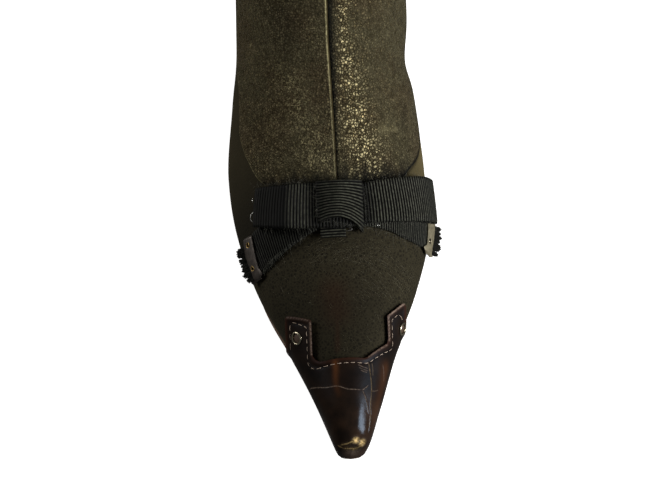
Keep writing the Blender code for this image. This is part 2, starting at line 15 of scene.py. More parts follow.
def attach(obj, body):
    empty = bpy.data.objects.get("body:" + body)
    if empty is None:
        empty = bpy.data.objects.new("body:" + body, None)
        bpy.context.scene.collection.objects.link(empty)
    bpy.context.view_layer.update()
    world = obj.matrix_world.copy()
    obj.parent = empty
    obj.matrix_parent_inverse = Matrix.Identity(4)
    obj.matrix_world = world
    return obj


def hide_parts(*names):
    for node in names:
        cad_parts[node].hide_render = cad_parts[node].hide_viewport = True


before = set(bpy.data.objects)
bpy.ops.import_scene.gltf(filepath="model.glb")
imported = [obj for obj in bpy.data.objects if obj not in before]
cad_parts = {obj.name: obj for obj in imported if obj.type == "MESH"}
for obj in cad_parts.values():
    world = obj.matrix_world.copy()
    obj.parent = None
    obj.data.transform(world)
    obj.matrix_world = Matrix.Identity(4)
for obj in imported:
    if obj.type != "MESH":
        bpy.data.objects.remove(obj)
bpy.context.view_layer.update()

# Driving sizes of the last, as in the solids.
LENGTH = 0.285
BALL_WIDTH = 0.085
INSTEP_HEIGHT = 0.064
HEEL_LIFT = 0.062
SHAFT_HEIGHT = 0.200
TOE_SPRING = 0.004
WALL = 0.0018
SOLE = 0.0035
SOLE_AT_SEAT = 0.0028
INSOLE = 0.0020
CAP = 0.0012
PANEL = 0.0005
CLIP = 0.0005
GAP = 0.0003
MIDDLE_ALONG = 0.1428
MIDDLE_SIDE = 0.0016
FLAT_FROM, FLAT_TO, SEAT_FROM = 0.263, 0.449, 0.895

# One row for each section of the foot, toe to heel. Along is a share of LENGTH, rise a share of
# INSTEP_HEIGHT over the sole line, side and half a share of BALL_WIDTH.
FOOT_COLUMNS = (
    "ridge_along", "rise", "base_along", "ridge_side", "base_side",
    "half_outer", "half_inner", "feather", "widest", "crown", "closed",
)
FOOT_SECTIONS = (
    (0.003, 0.05, 0.003, 0.055, 0.055, 0.000, 0.000, 1.00, 0.40, 2.00, 0.00),
    (0.006, 0.12, 0.005, 0.055, 0.055, 0.045, 0.045, 0.86, 0.42, 2.00, 0.00),
    (0.012, 0.17, 0.010, 0.055, 0.055, 0.060, 0.065, 0.86, 0.42, 2.00, 0.00),
    (0.028, 0.23, 0.025, 0.055, 0.055, 0.080, 0.090, 0.86, 0.42, 2.00, 0.00),
    (0.077, 0.33, 0.074, 0.055, 0.055, 0.140, 0.145, 0.88, 0.42, 2.00, 0.00),
    (0.154, 0.45, 0.154, 0.050, 0.045, 0.245, 0.240, 0.90, 0.40, 1.95, 0.00),
    (0.246, 0.58, 0.253, 0.045, 0.035, 0.405, 0.385, 0.90, 0.38, 1.90, 0.00),
    (0.340, 0.75, 0.358, 0.040, 0.025, 0.500, 0.475, 0.88, 0.36, 1.85, 0.00),
    (0.421, 0.95, 0.456, 0.035, 0.010, 0.525, 0.480, 0.84, 0.36, 1.82, 0.00),
    (0.502, 1.06, 0.561, 0.025, -0.005, 0.480, 0.455, 0.70, 0.38, 1.80, 0.00),
    (0.535, 1.06, 0.618, 0.020, -0.015, 0.445, 0.420, 0.62, 0.39, 1.80, 0.00),
    (0.568, 0.99, 0.684, 0.020, -0.015, 0.435, 0.435, 0.60, 0.40, 1.80, 0.00),
    (0.621, 0.92, 0.814, 0.010, -0.010, 0.425, 0.425, 0.65, 0.42, 1.85, 0.10),
    (0.653, 1.07, 0.926, 0.005, 0.000, 0.412, 0.412, 0.67, 0.45, 1.90, 0.30),
    (0.669, 1.22, 0.967, 0.003, 0.000, 0.410, 0.410, 0.49, 0.46, 1.92, 0.50),
    (0.677, 1.38, 0.987, 0.002, 0.000, 0.409, 0.409, 0.25, 0.46, 1.93, 0.75),
    (0.682, 1.49, 0.993, 0.001, 0.000, 0.408, 0.408, 0.00, 0.47, 1.94, 1.00),
)
SHAFT_COLUMNS = ("front_along", "front_height", "back_along", "back_height", "half", "widest")
SHAFT_SECTIONS = (
    (0.686, 0.840, 1.005, 0.460, 0.408, 0.48),
    (0.688, 0.880, 0.988, 0.625, 0.412, 0.50),
    (0.690, 0.930, 0.974, 0.800, 0.425, 0.50),
    (0.690, 1.000, 0.975, 0.990, 0.445, 0.50),
)
HEEL_BACK = len(FOOT_SECTIONS) - 1
COLLAR = HEEL_BACK + len(SHAFT_SECTIONS)
ARCH_SHARE = 0.62
MERGE = 1e-6
STEP = 1e-3
NEAR_TIP = 0.05

# Edge of the shaft fronts: how far down each side they reach at a station.
SEAM_COLUMNS = ("station", "outer", "inner")
SHAFT_SEAM = (
    (7.00, 0.200, 0.220),
    (7.30, 0.270, 0.290),
    (7.60, 0.340, 0.345),
    (8.00, 0.390, 0.450),
    (8.40, 0.440, 0.525),
    (9.20, 0.485, 0.540),
    (10.10, 0.550, 0.540),
    (19.95, 0.550, 0.550),
)
SEAM_GROOVE = 0.004

# Edge of the toe cap seen from above: side from the shaft's middle, along from the toe tip, radius.
CAP_EDGE = (
    (-0.0206, -0.0200, 0.0),
    (-0.0206, 0.0560, 0.0009),
    (-0.0097, 0.0507, 0.0009),
    (-0.0097, 0.0334, 0.0050),
    (0.0120, 0.0336, 0.0040),
    (0.0221, 0.0425, 0.0050),
    (0.0219, 0.0524, 0.0009),
    (0.0305, 0.0612, 0.0009),
    (0.0305, -0.0200, 0.0),
)
CAP_STAND = 0.0004
CAP_LOWEST = 0.97
CAP_CUT_LOW, CAP_CUT_HIGH = -0.010, 0.060
EYELETS = (("eyelet_outer", 5.12, -0.400), ("eyelet_inner", 5.31, 0.520))
EYELET_BORE = 0.0021

# The bow: way across the vamp, stations of the ribbon's two edges, stand of its layers.
LOOP_COLUMNS = ("way", "front", "back", "low", "high")
BOW_LOOPS = (
    (-0.352, 6.84, 7.41, 0.0031, 0.0031),
    (-0.340, 6.83, 7.40, 0.0022, 0.0042),
    (-0.310, 6.79, 7.38, 0.0019, 0.0050),
    (-0.220, 6.68, 7.33, 0.0022, 0.0056),
    (-0.100, 6.61, 7.29, 0.0030, 0.0038),
    (0.010, 6.58, 7.25, 0.0032, 0.0042),
    (0.120, 6.66, 7.28, 0.0032, 0.0044),
    (0.250, 6.74, 7.40, 0.0025, 0.0052),
    (0.400, 6.86, 7.56, 0.0026, 0.0054),
    (0.480, 6.92, 7.61, 0.0030, 0.0050),
    (0.505, 6.94, 7.63, 0.0040, 0.0040),
)
# How far the ribs of each loop lean, as a change of way from the front edge to the back edge.
LOOP_LEAN_OUTER, LOOP_LEAN_INNER = 0.046, -0.032
LOOP_LEAN_FULL = 0.3
KNOT_WAYS = (-0.085, 0.102)
KNOT_FRONT, KNOT_BACK = 6.50, 7.30
KNOT_LOW, KNOT_HIGH, KNOT_CORNER = 0.0011, 0.0052, 0.0009
ARCH_COLUMNS = ("share", "front")
KNOT_ARCH = ((0.00, 6.68), (0.20, 6.73), (0.45, 6.74), (0.70, 6.69), (0.85, 6.62), (1.00, 6.53))
KNOT_BULGE = 0.0008
KNOT_END_WAYS = (-0.085, 0.030)
KNOT_END_STATIONS = (6.46, 6.62)
KNOT_END_STAND = (0.0022, 0.0030)
TAIL_COLUMNS = ("way", "front", "back", "stand")
BOW_TAILS = {
    "bow_tail_outer": (
        (-0.020, 6.60, 7.12, 0.0022),
        (-0.100, 6.58, 7.07, 0.0022),
        (-0.200, 6.45, 7.01, 0.00120),
        (-0.375, 6.22, 6.83, 0.00075),
        (-0.520, 6.17, 6.68, 0.00075),
    ),
    "bow_tail_inner": (
        (0.040, 6.62, 7.14, 0.0022),
        (0.120, 6.62, 7.16, 0.0022),
        (0.230, 6.60, 7.13, 0.00110),
        (0.380, 6.53, 7.00, 0.00075),
        (0.590, 6.54, 6.98, 0.0010),
    ),
}
# Each clip: its ribbon end, side, lift of its outer edge, pinholes as station and share of the width, edges.
CLIP_COLUMNS = ("share", "inside", "outside")
CLIPS = (
    ("clip_outer", "bow_tail_outer", -1, 0.0004, ((6.32, 0.50), (6.65, 0.50)), (
        (0.00, 0.450, 0.545), (0.08, 0.420, 0.540), (0.25, 0.434, 0.525), (1.00, 0.414, 0.474),
    )),
    ("clip_inner", "bow_tail_inner", 1, 0.0010, ((6.68, 0.22),), (
        (0.00, 0.510, 0.570), (0.06, 0.458, 0.600), (0.22, 0.494, 0.614), (1.00, 0.474, 0.596),
    )),
)
CLIP_STAND = 0.00175
CLIP_OVERHANG = 0.040
CLIP_HOLE, CLIP_HOLE_STEPS = 0.0010, 20
CLIP_ROWS, CLIP_EDGE = 25, 0.00012
# Rim of a pinhole in a clip: radius and height round its profile.
CLIP_PIN_TURN = (
    (0.00092, -0.00030), (0.00092, 0.00024), (0.00102, 0.00034), (0.00116, 0.00032), (0.00122, 0.00022),
    (0.00098, 0.00022), (0.00098, -0.00030),
)

# Soles and heel.
SOLE_EDGE = 0.0008
SOLE_ROUND = ((0.5, 0.00), (0.9, 0.04), (1.0, 0.14), (1.0, 0.55), (0.7, 0.80), (0.1, 0.95), (-0.5, 1.00))
INSOLE_STATIONS = (3.4, 15.6)
INSOLE_LIFT = 0.00045
HEEL_COLUMNS = ("level", "width", "breast", "back")
HEEL_SECTIONS = (
    (0.00, 1.00, 0.000, 0.000),
    (0.10, 0.92, 0.009, 0.004),
    (0.25, 0.80, 0.022, 0.009),
    (0.45, 0.67, 0.034, 0.015),
    (0.70, 0.57, 0.042, 0.020),
    (1.00, 0.52, 0.046, 0.023),
)
BREAST_STATION = 11.9
HEEL_INSET = 0.0010
TOP_PIECE = 0.0048
HEEL_EDGE, TREAD_EDGE = 0.0008, 0.0004

# How fine the dressed pieces are.
UPPER_ROWS, UPPER_STRIPS = 250, 150
PANEL_ROWS, PANEL_STRIPS, PANEL_EDGE_STRIPS = 210, 44, 9
CAP_ROWS, CAP_STRIPS = 150, 170
CORNER_STEPS = 8
SOLE_STEPS = 10

# Grosgrain: pitch and height of its ribs, columns for each rib, strips across.
LOOP_RIB_PITCH = 0.00132
TAIL_RIB_PITCH = 0.00122
KNOT_RIB_PITCH = 0.00162
KNOT_END_RIB_PITCH = 0.00108
TAIL_RIB_SLANT = 1.2
RIB_SHARPNESS = 1.3
RIB_HEIGHT_SHARE = 0.36
RIB_STEPS = 8
RIBBON_STRIPS = 14
RIBBON_BODY = 0.00045

# How bright the painted highlight on the ribs' crests is, lit where the ribbon faces the lamp and shaded where
# it turns away: along the loops by way, across the knot by share, and on the ends.
LOOP_RIB_LIGHT = (
    (-0.36, 0.12), (-0.32, 0.10), (-0.21, 0.00), (-0.19, 0.65), (-0.13, 0.75), (-0.10, 0.20),
    (0.10, 0.00), (0.125, 0.10), (0.15, 0.80), (0.20, 0.90), (0.36, 0.80), (0.46, 0.45), (0.51, 0.30),
)
KNOT_RIB_LIGHT = ((0.0, 0.15), (0.12, 0.45), (0.35, 0.60), (0.60, 1.00), (0.90, 1.00), (1.0, 0.30))
KNOT_END_RIB_LIGHT = 0.75
TAIL_RIB_LIGHT = {"bow_tail_outer": 0.32, "bow_tail_inner": 0.70}
# How full the ribs stand along the loops: the outer one is pressed flat.
LOOP_RELIEF = ((-0.36, 0.60), (-0.29, 0.45), (-0.205, 0.35), (-0.185, 1.00), (0.51, 1.00))

# The seam beside each shaft front: rows, distance in way, depth, half width, and the painted shade in its
# groove.
SEAM_ROWS, SEAM_BESIDE = 60, 0.004
SEAM_DEPTH, SEAM_HALF_WIDTH = 0.00025, 0.0007
SEAM_SHADE, SEAM_SHADE_REACH = 0.8, 0.0008
# Shaft fronts: share of the width in each edge, how deep they sink, and how their edges roll.
PANEL_EDGE_SHARE = 0.06
PANEL_SINK, PANEL_BODY = 0.0003, 0.0006
FRONT_ROLL = {"outer": 0.0006, "inner": 0.0021}
SIDE_ROLL, END_ROLL = 0.0009, 0.0008
# Ridge of the folded edge: height, distance from the edge and half width.
FOLD_RIDGE = (0.00008, 0.0006, 0.0005)
# Painted highlight along the fold, brighter upwards: strength low down, its rise, distance from the edge and
# reach.
FOLD_HIGHLIGHT = (0.30, 0.60, 0.00045, 0.00026)
# The inner front lies in the fold's shade: strength, reach low down and its rise.
FOLD_SHADE = (0.85, 0.0011, 0.0020)
# Painted shade along the inner front's side seam: strength and reach.
SIDE_LINE = (0.96, 0.0020)
# Painted shade and painted highlight along the fronts' edges: kind, edge, strength, distance from the edge and
# reach.
FRONT_LINES = {
    "outer": (
        ("shade", "front", 0.90, 0.0, 0.00016),
        ("shade", "front", 0.10, 0.0, 0.010),
        ("shade", "side", 0.60, 0.0, 0.0004),
        ("edge", "side", 0.35, 0.0005, 0.00022),
    ),
    "inner": (("shade", "side", 0.60, 0.0, 0.0004),),
}
# Creases: share over which they run out, depth at their ends, and where their rims stand in half widths.
CREASE_RUN_OUT, CREASE_END_DEPTH, CREASE_RIM_AT = 0.18, 0.35, 1.9
# A direction that no strand runs along.
STRAND_ASIDE = (0.12, 0.31, 0.94)

# How far the darkening of the shaft above the bow reaches up, in stations.
BOW_HALO = {"outer": 0.16, "inner": 0.26}
BOW_HALO_SHADE = 0.83
# Tufts along the top of that darkening: size, radians to a unit of way, and start.
HALO_TUFTS = ((0.25, 61, 0.0), (0.25, 143, 1.3))
# Stations between which the painted highlight on the folded edge at the seam brightens upwards, and the
# painted shade beside it widens.
SEAM_FADE = (7.8, 9.0)

# Painted shade on the outer quarter, and on the vamp towards the cap.
OUTER_PAINTED_SHADE, TOE_PAINTED_SHADE = 0.80, 0.36
# Width over which the first fades out, then the stations and ways between which they come in.
OUTER_SHADE_FADE = 0.040
OUTER_SHADE_STATIONS = (6.2, 6.7)
TOE_SHADE_STATIONS, TOE_SHADE_WAYS = (6.0, 5.5), (0.38, 0.18)
# Shares of the length between which the vamp's nap turns into the quarter's.
QUARTER_ALONG = (0.34, 0.44)
# Reddish wear on the vamp: strength, reach, then the stations and ways it runs through.
VAMP_WARM = (
    (0.45, 0.0060, ((5.65, -0.06), (5.35, -0.05))),
    (0.50, 0.0012, ((5.50, -0.045), (5.10, -0.060), (4.75, -0.083))),
)
# Pale scuffs and darker patches on the shaft fronts: kind, strength, station, way, reach along and reach
# across.
SHAFT_SCUFFS = (
    ("edge", 0.18, 8.20, 0.235, 0.0024, 0.0034),
    ("edge", 0.20, 8.23, 0.280, 0.0010, 0.0025),
    ("shade", 0.35, 8.46, 0.355, 0.0060, 0.0018),
    ("edge", 0.50, 10.23, -0.395, 0.0012, 0.0003),
    ("shade", 0.25, 10.60, -0.200, 0.0120, 0.0080),
)
# Where the grain of the outer front has cracked: strength, station, way and reach.
SHAFT_CRACKS = (
    (0.35, 9.51, -0.305, 0.0060),
    (0.55, 9.12, -0.232, 0.0060),
    (0.95, 8.82, -0.177, 0.0065),
    (0.80, 8.51, -0.152, 0.0075),
    (0.75, 8.22, -0.120, 0.0080),
    (0.90, 7.99, -0.095, 0.0075),
    (1.00, 7.72, -0.070, 0.0075),
    (0.45, 8.30, -0.230, 0.0080),
    (0.50, 10.28, -0.070, 0.0060),
    (0.40, 9.73, -0.057, 0.0050),
)
CRACKS_ELSEWHERE = 0.14
# Strip beside the seam where gold glints are painted and the gloss is raised: station, way and half width.
GLINT_BAND_COLUMNS = ("station", "way", "half_width")
GLINT_BAND = (
    (7.10, 0.180, 0.0078),
    (7.60, 0.148, 0.0082),
    (7.99, 0.116, 0.0078),
    (8.54, 0.088, 0.0062),
    (9.24, 0.086, 0.0042),
    (10.59, 0.080, 0.0024),
    (20.00, 0.080, 0.0024),
)

# Creases pressed into the cap: paleness, from wear and painted highlight, gold, the tint of the painted
# highlight at the tip, depth, half width, then the stations and ways they run through.
CAP_CREASES = (
    (0.60, 0.0, 0.00012, 0.00014, (
        (4.34, -0.62), (4.28, -0.508), (4.12, -0.290), (4.07, -0.135), (3.97, 0.015), (3.97, 0.163),
    )),
    (0.60, 0.0, 0.00012, 0.00014, ((3.97, 0.163), (4.02, 0.195), (4.10, 0.235))),
    (0.45, 0.0, 0.00012, 0.00014, ((3.97, 0.163), (3.83, 0.213), (3.65, 0.260), (3.44, 0.302))),
    (0.40, 0.4, 0.00018, 0.00018, (
        (4.54, 0.205), (4.32, 0.242), (4.14, 0.272), (3.93, 0.295), (3.70, 0.310), (3.47, 0.345),
        (3.17, 0.367), (2.86, 0.390),
    )),
    (0.25, 0.2, 0.00012, 0.00015, ((4.54, 0.240), (4.44, 0.262), (4.30, 0.275))),
    (0.30, 0.0, 0.00010, 0.00014, ((4.00, 0.288), (4.03, 0.340), (4.09, 0.400))),
    (0.55, 0.0, 0.00012, 0.00013, ((4.46, 0.100), (4.43, 0.150), (4.41, 0.205))),
    (0.50, 0.0, 0.00012, 0.00013, ((4.41, 0.110), (4.385, 0.155), (4.37, 0.210))),
    (0.40, 0.0, 0.00012, 0.00013, ((4.36, 0.130), (4.345, 0.165), (4.335, 0.205))),
    (0.15, 0.3, 0.00010, 0.00016, ((4.58, 0.380), (4.46, 0.425), (4.30, 0.470))),
    (0.80, 1.0, 0.00022, 0.00016, (
        (1.96, -0.443), (1.53, -0.330), (1.14, -0.188), (0.97, 0.103), (1.45, 0.282), (1.92, 0.410),
    )),
    (1.00, 1.0, 0.00018, 0.00017, (
        (1.73, -0.340), (1.69, -0.147), (1.82, -0.005), (1.98, 0.120), (1.86, 0.238), (1.78, 0.390),
    )),
    (0.50, 0.8, 0.00014, 0.00020, ((2.06, 0.200), (2.10, 0.310), (1.95, 0.430))),
)
# Pale patches of the cap, the gold ones painted highlights at the tip: paleness, gold, reach, station and way.
CAP_PATCHES = (
    (1.00, 1.0, 0.0011, 2.00, 0.115),
    (0.65, 1.0, 0.0013, 1.90, 0.300),
    (0.16, 0.0, 0.0030, 0.45, 0.050),
)
# Painted highlights along stretches of the cap's edge seen from above: strength, then the side and along of
# both ends.
CAP_EDGE_HIGHLIGHTS = (
    (0.55, (-0.0101, 0.0500), (-0.0101, 0.0378)),
    (0.20, (-0.0196, 0.0550), (-0.0108, 0.0508)),
    (0.45, (0.0225, 0.0520), (0.0226, 0.0435)),
    (0.55, (0.0228, 0.0528), (0.0298, 0.0600)),
    (0.30, (0.0215, 0.0415), (0.0135, 0.0345)),
)
CAP_EDGE_HIGHLIGHT_REACH = 0.00026
# The glaze turns from full to dull between these stations.
CAP_DULL_FROM, CAP_DULL_TO = 3.45, 3.95
# Painted brown reflections on the cap: strength, reach, then the stations and ways they run through.
CAP_BROWN_REFLECTIONS = (
    (1.00, 0.0013, ((4.60, -0.115), (4.40, -0.125), (4.11, -0.150), (3.80, -0.130))),
    (0.38, 0.0030, ((4.55, 0.440), (4.00, 0.470), (3.30, 0.500), (2.50, 0.520))),
)
REFINE_REACH, REFINE_CUTS = 0.0006, 4
RIM_AT, RIM_WIDE, RIM_HEIGHT = 0.0007, 0.0006, 0.00022
# Reddish tint of the rim: strength, distance from the edge and reach.
CAP_RIM_TINT = (0.8, 0.0003, 0.0007)
# Where the paleness of a crease runs out, and how far the gold of the painted highlight reaches: beside a
# crease, and in reaches of a patch.
CREASE_PALE_RUN_OUT, CREASE_GOLD_REACH, PATCH_GOLD_REACH = 0.12, 0.001, 1.5
REFLECTION_FADE = 0.7
CAP_LAST_STATION = 6.4
BORE_DEPTH = 0.006

# Stitches of the cap: distance from its edge, length, pitch, radius, and how far along they begin.
STITCH_INSET = 0.0020
STITCH_LENGTH = 0.0018
STITCH_PITCH = 0.0028
STITCH_RADIUS = 0.00013
STITCH_FIRST = 0.030
STITCH_GROOVE, STITCH_GROOVE_REACH = 0.6 * RIM_HEIGHT, 0.0005
STITCH_ROWS, STITCH_COLUMNS = 70, 90
STITCH_CORNER, STITCH_START = 0.0012, 0.0008
# A stitch from end to end: share of its length, height and width as shares of its radius.
STITCH_PROFILE = (
    (-0.5, -0.9, 0.45), (-0.36, 0.15, 0.95), (0.0, 0.45, 1.0), (0.36, 0.15, 0.95), (0.5, -0.9, 0.45),
)

# Which way the stitch line lies from each corner of the cap's edge.
CAP_STITCH_TURN = (
    (1, 0), (1, -1.3), (-1, -1.1), (-1, -1), (0.4, -1), (0.9, -0.6), (1, -0.4), (-1, -2.2), (-1, 0),
)

# Eyelets: half the height of the leather pressed up in them, then radius and height round their profile.
EYELET_PLUG = 0.0004
EYELET_TURN = (
    (0.00195, -0.0008), (0.00198, 0.00010), (0.00212, 0.00040), (0.00236, 0.00052), (0.00262, 0.00042),
    (0.00282, 0.00018), (0.00288, 0.0), (0.00208, 0.0), (0.00208, -0.0008),
)

# Loose threads: how far they reach from the ribbon's end, and how many there are.
FRAY_REACH, FRAY_THREADS = 0.0031, 340
FRAY_SEED, FRAY_CLUMPS = 11, 7
# Where a clump lies in its share of the end, how it swells, and how round its outline is.
FRAY_CLUMP_PLACE, FRAY_CLUMP_SWELL, FRAY_CLUMP_ROUND = (0.25, 0.75), (0.6, 1.1), 1.8
# Shortest length and what a clump adds, as shares of the reach, and how ragged the ends are.
FRAY_LENGTHS, FRAY_RAGGED = (0.66, 0.40), (0.90, 1.04)
# How threads gather to their clump, stray and droop, as shares of the ribbon's width.
FRAY_GATHER, FRAY_STRAY, FRAY_DROOP = 0.12, 0.012, 0.03
# How far inside the end they start and how far they run, in way, and their depth in the ribbon.
FRAY_ROOT, FRAY_DRAWN, FRAY_DEEP, FRAY_LAYERS = 0.03, 0.02, 0.0004, (-1, 1.4)
# How they rise from the upper, where they point and how they curl, then their widths.
FRAY_RISE, FRAY_AIM, FRAY_CURL = 0.45, (0.85, -0.12, -0.12), 0.0003
FRAY_TAPER, FRAY_RADII = (1.0, 1.0, 0.95, 0.90, 0.70), (0.00018, 0.00034)

# Lint caught in the nap: stations and ways of each patch, how many hairs, their heading and longest length.
LINT_PATCHES = (
    (5.60, 6.25, 0.10, 0.46, 130, -40, 0.0110),
    (6.10, 6.46, -0.16, 0.26, 240, 15, 0.0030),
    (5.50, 6.30, -0.42, 0.14, 90, -60, 0.0030),
    (4.70, 5.50, -0.10, 0.32, 40, -50, 0.0040),
)
# Their radii, shortest length and stand, how they swerve, the short ones more, and how they bend.
LINT_SEED, LINT_RADII = 5, (0.000005, 0.000012)
LINT_SHORTEST, LINT_STAND = 0.0008, 0.0001
LINT_SWERVE, LINT_SHORT_SWERVE, LINT_BEND = 4, 0.06, 0.14
VAMP_STATIONS_PER_METRE, VAMP_WAYS_PER_METRE = 27, 14

# Wire tacks that hold the ribbon: radius, stand, stations and ways of their ends, and their bow in way.
TACKS = (
    (0.00028, 0.0040, 7.06, 6.91, -0.352, -0.365, -0.014),
    (0.00016, 0.0046, 7.25, 7.19, -0.340, -0.343, 0.0),
    (0.00014, 0.0058, 7.300, 7.285, -0.192, -0.190, 0.0),
    (0.00014, 0.0056, 7.315, 7.307, -0.206, -0.205, 0.0),
    (0.00018, 0.0046, 6.640, 6.635, 0.158, 0.174, 0.0),
    (0.00014, 0.0042, 6.590, 6.530, 0.040, 0.030, 0.022),
)
TACK_END = 0.55

# Frizz on the ribbon's edges: how many hairs, then the ends of the edge as station, way and stand, and the
# way the hairs point as shares of station and way.
FRIZZ_EDGES = (
    (60, (7.42, -0.33, 0.0048), (7.30, -0.11, 0.0042), (1, 0)),
    (60, (6.82, -0.33, 0.0046), (6.62, -0.11, 0.0040), (-1, 0)),
    (90, (7.29, 0.13, 0.0046), (7.60, 0.45, 0.0052), (1, 0)),
    (90, (6.67, 0.13, 0.0046), (6.93, 0.49, 0.0050), (-1, 0)),
    (50, (7.26, -0.085, 0.0054), (6.72, -0.085, 0.0054), (0, -1)),
    (60, (7.26, 0.108, 0.0054), (6.56, 0.108, 0.0054), (0, 1)),
    (50, (6.70, -0.075, 0.0054), (6.60, 0.095, 0.0054), (-1, 0)),
    (90, (6.22, -0.43, 0.0010), (6.56, -0.12, 0.0022), (-1, 0)),
    (60, (6.60, 0.14, 0.0022), (6.52, 0.45, 0.0010), (-1, 0)),
)
# Their length and radius, how both vary, how they rise, stray and curl.
FRIZZ_SEED, FRIZZ_LENGTH, FRIZZ_RADIUS = 23, 0.0013, 0.000022
FRIZZ_LENGTHS, FRIZZ_WIDTHS, FRIZZ_RISE = (0.3, 1.3), (0.6, 1.3), (-0.2, 0.5)
FRIZZ_STRAY, FRIZZ_CURL = 0.7, 0.6
STATIONS_PER_METRE, WAYS_PER_METRE = 42.0, 11.0


# Small sums.
def fading(distance, reach):
    """1 at no distance, and softly less the further away."""
    return np.exp(-((distance / reach) ** 2))


def ramp(value, start, end):
    """0 at the start and before it, rising evenly to 1 at the end."""
    return np.clip((value - start) / (end - start), 0, 1)


def run_along(path):
    """Distance run along a path up to each of its points."""
    steps = np.linalg.norm(np.diff(path, axis=-2), axis=-1)
    return np.concatenate([np.zeros_like(steps[..., :1]), np.cumsum(steps, axis=-1)], axis=-1)


# The last.
def table(columns, rows):
    """The rows of a table as one array for each named column."""
    return {name: np.array(values, float) for name, values in zip(columns, zip(*rows))}


def smooth(rows, places):
    """A curve through the rows, one unit apart, that never swings past them."""
    rows = np.asarray(rows, float)
    rise = np.diff(rows, axis=0)
    before, after = rise[:-1], rise[1:]
    mean = (before + after) / 2
    most = 3 * np.minimum(np.abs(before), np.abs(after))
    inner = np.where(before * after > 0, np.clip(mean, -most, most), 0.0)
    slope = np.concatenate([rise[:1], inner, rise[-1:]])
    places = np.asarray(places, float)
    row = np.clip(np.floor(places).astype(int), 0, len(rows) - 2)
    f = (places - row)[..., None]
    start = rows[row] * (2 * f**3 - 3 * f**2 + 1) + slope[row] * (f**3 - 2 * f**2 + f)
    end = rows[row + 1] * (3 * f**2 - 2 * f**3) + slope[row + 1] * (f**3 - f**2)
    return start + end


def between(rows, at, columns):
    """Columns of a table whose first column is the place, read smoothly at a place."""
    rows = np.asarray(rows, float)
    if rows[0, 0] > rows[-1, 0]:
        rows = rows[::-1]
    index = np.interp(at, rows[:, 0], np.arange(len(rows)))
    return dict(zip(columns, np.moveaxis(smooth(rows, index), -1, 0)))


def sole_line(along):
    """Height of the outsole's top at a distance from the toe tip."""
    share = np.asarray(along, float) / LENGTH
    toe = np.clip((FLAT_FROM - share) / FLAT_FROM, 0, None)
    climb = ramp(share, FLAT_TO, SEAT_FROM)
    return SOLE + TOE_SPRING * toe**2 + HEEL_LIFT * climb**2 * (3 - 2 * climb)


def last_sections():
    """Every section of the boot in metres: ridge and base places, widths and shape."""
    foot = table(FOOT_COLUMNS, FOOT_SECTIONS)
    base_along = foot["base_along"] * LENGTH
    base_height = sole_line(base_along) + GAP
    foot_rows = np.stack([
        foot["ridge_along"] * LENGTH,
        base_height + foot["rise"] * INSTEP_HEIGHT,
        base_along,
        base_height,
        foot["ridge_side"] * BALL_WIDTH,
        foot["base_side"] * BALL_WIDTH,
        foot["half_outer"] * BALL_WIDTH,
        foot["half_inner"] * BALL_WIDTH,
        foot["feather"],
        foot["widest"],
        foot["crown"],
        foot["closed"],
    ], axis=1)
    shaft = table(SHAFT_COLUMNS, SHAFT_SECTIONS)
    zero = np.zeros(len(SHAFT_SECTIONS))
    shaft_rows = np.stack([
        shaft["front_along"] * LENGTH,
        shaft["front_height"] * SHAFT_HEIGHT,
        shaft["back_along"] * LENGTH,
        shaft["back_height"] * SHAFT_HEIGHT,
        zero,
        zero,
        shaft["half"] * BALL_WIDTH,
        shaft["half"] * BALL_WIDTH,
        zero,
        shaft["widest"],
        zero + 2,
        zero + 1,
    ], axis=1)
    return np.concatenate([foot_rows, shaft_rows])


SECTIONS = last_sections()


def last_point(station, way):
    """Points of the upper's outside. Way runs from -1 at the outer sole edge, 0 on the ridge, to 1."""
    station, way = np.broadcast_arrays(np.asarray(station, float), np.asarray(way, float))
    (ridge_along, ridge_height, base_along, base_height, ridge_side, base_side, half_outer,
     half_inner, feather, widest, crown, closed) = np.moveaxis(smooth(SECTIONS, station), -1, 0)
    on_sole = station <= HEEL_BACK
    base_height = np.where(on_sole, sole_line(base_along) + GAP, base_height)
    half = np.where(way < 0, half_outer, half_inner)
    down = np.abs(way)
    arch = np.clip(down / ARCH_SHARE, 0, 1) * math.pi / 2
    tuck = math.pi / 2 * (1 - np.clip((down - ARCH_SHARE) / (1 - ARCH_SHARE), 0, 1))
    above = down <= ARCH_SHARE
    full = 2 / crown
    out = np.where(
        above,
        half * np.sin(arch) ** full,
        half * (feather + (1 - feather) * np.sin(tuck)),
    )
    height = np.where(
        above,
        widest + (1 - widest) * np.clip(np.cos(arch), 0, 1) ** full,
        widest * ((1 - closed) * tuck * 2 / math.pi + closed * (1 - np.cos(tuck))),
    )
    side = base_side + (ridge_side - base_side) * height + np.sign(way) * out
    along = base_along + (ridge_along - base_along) * height
    up = base_height + (ridge_height - base_height) * height
    return np.stack([side - MIDDLE_SIDE, along - MIDDLE_ALONG, up], axis=-1)


def last_normal(station, way):
    """Outward directions of the upper's outside."""
    station, way = np.broadcast_arrays(np.asarray(station, float), np.asarray(way, float))
    near = np.maximum(station, NEAR_TIP)
    ahead = last_point(np.minimum(near + STEP, COLLAR), way)
    behind = last_point(near - STEP, way)
    right = last_point(near, np.minimum(way + STEP, 1))
    left = last_point(near, np.maximum(way - STEP, -1))
    normal = np.cross(right - left, ahead - behind)
    normal[..., 0] = np.where(station <= 0, 0.0, normal[..., 0])
    return normal / np.linalg.norm(normal, axis=-1, keepdims=True)


def upper_at(station, way, stand=0.0):
    """Points that stand off the upper's outside by a distance."""
    stand = np.asarray(stand, float)[..., None]
    return last_point(station, way) + stand * last_normal(station, way)


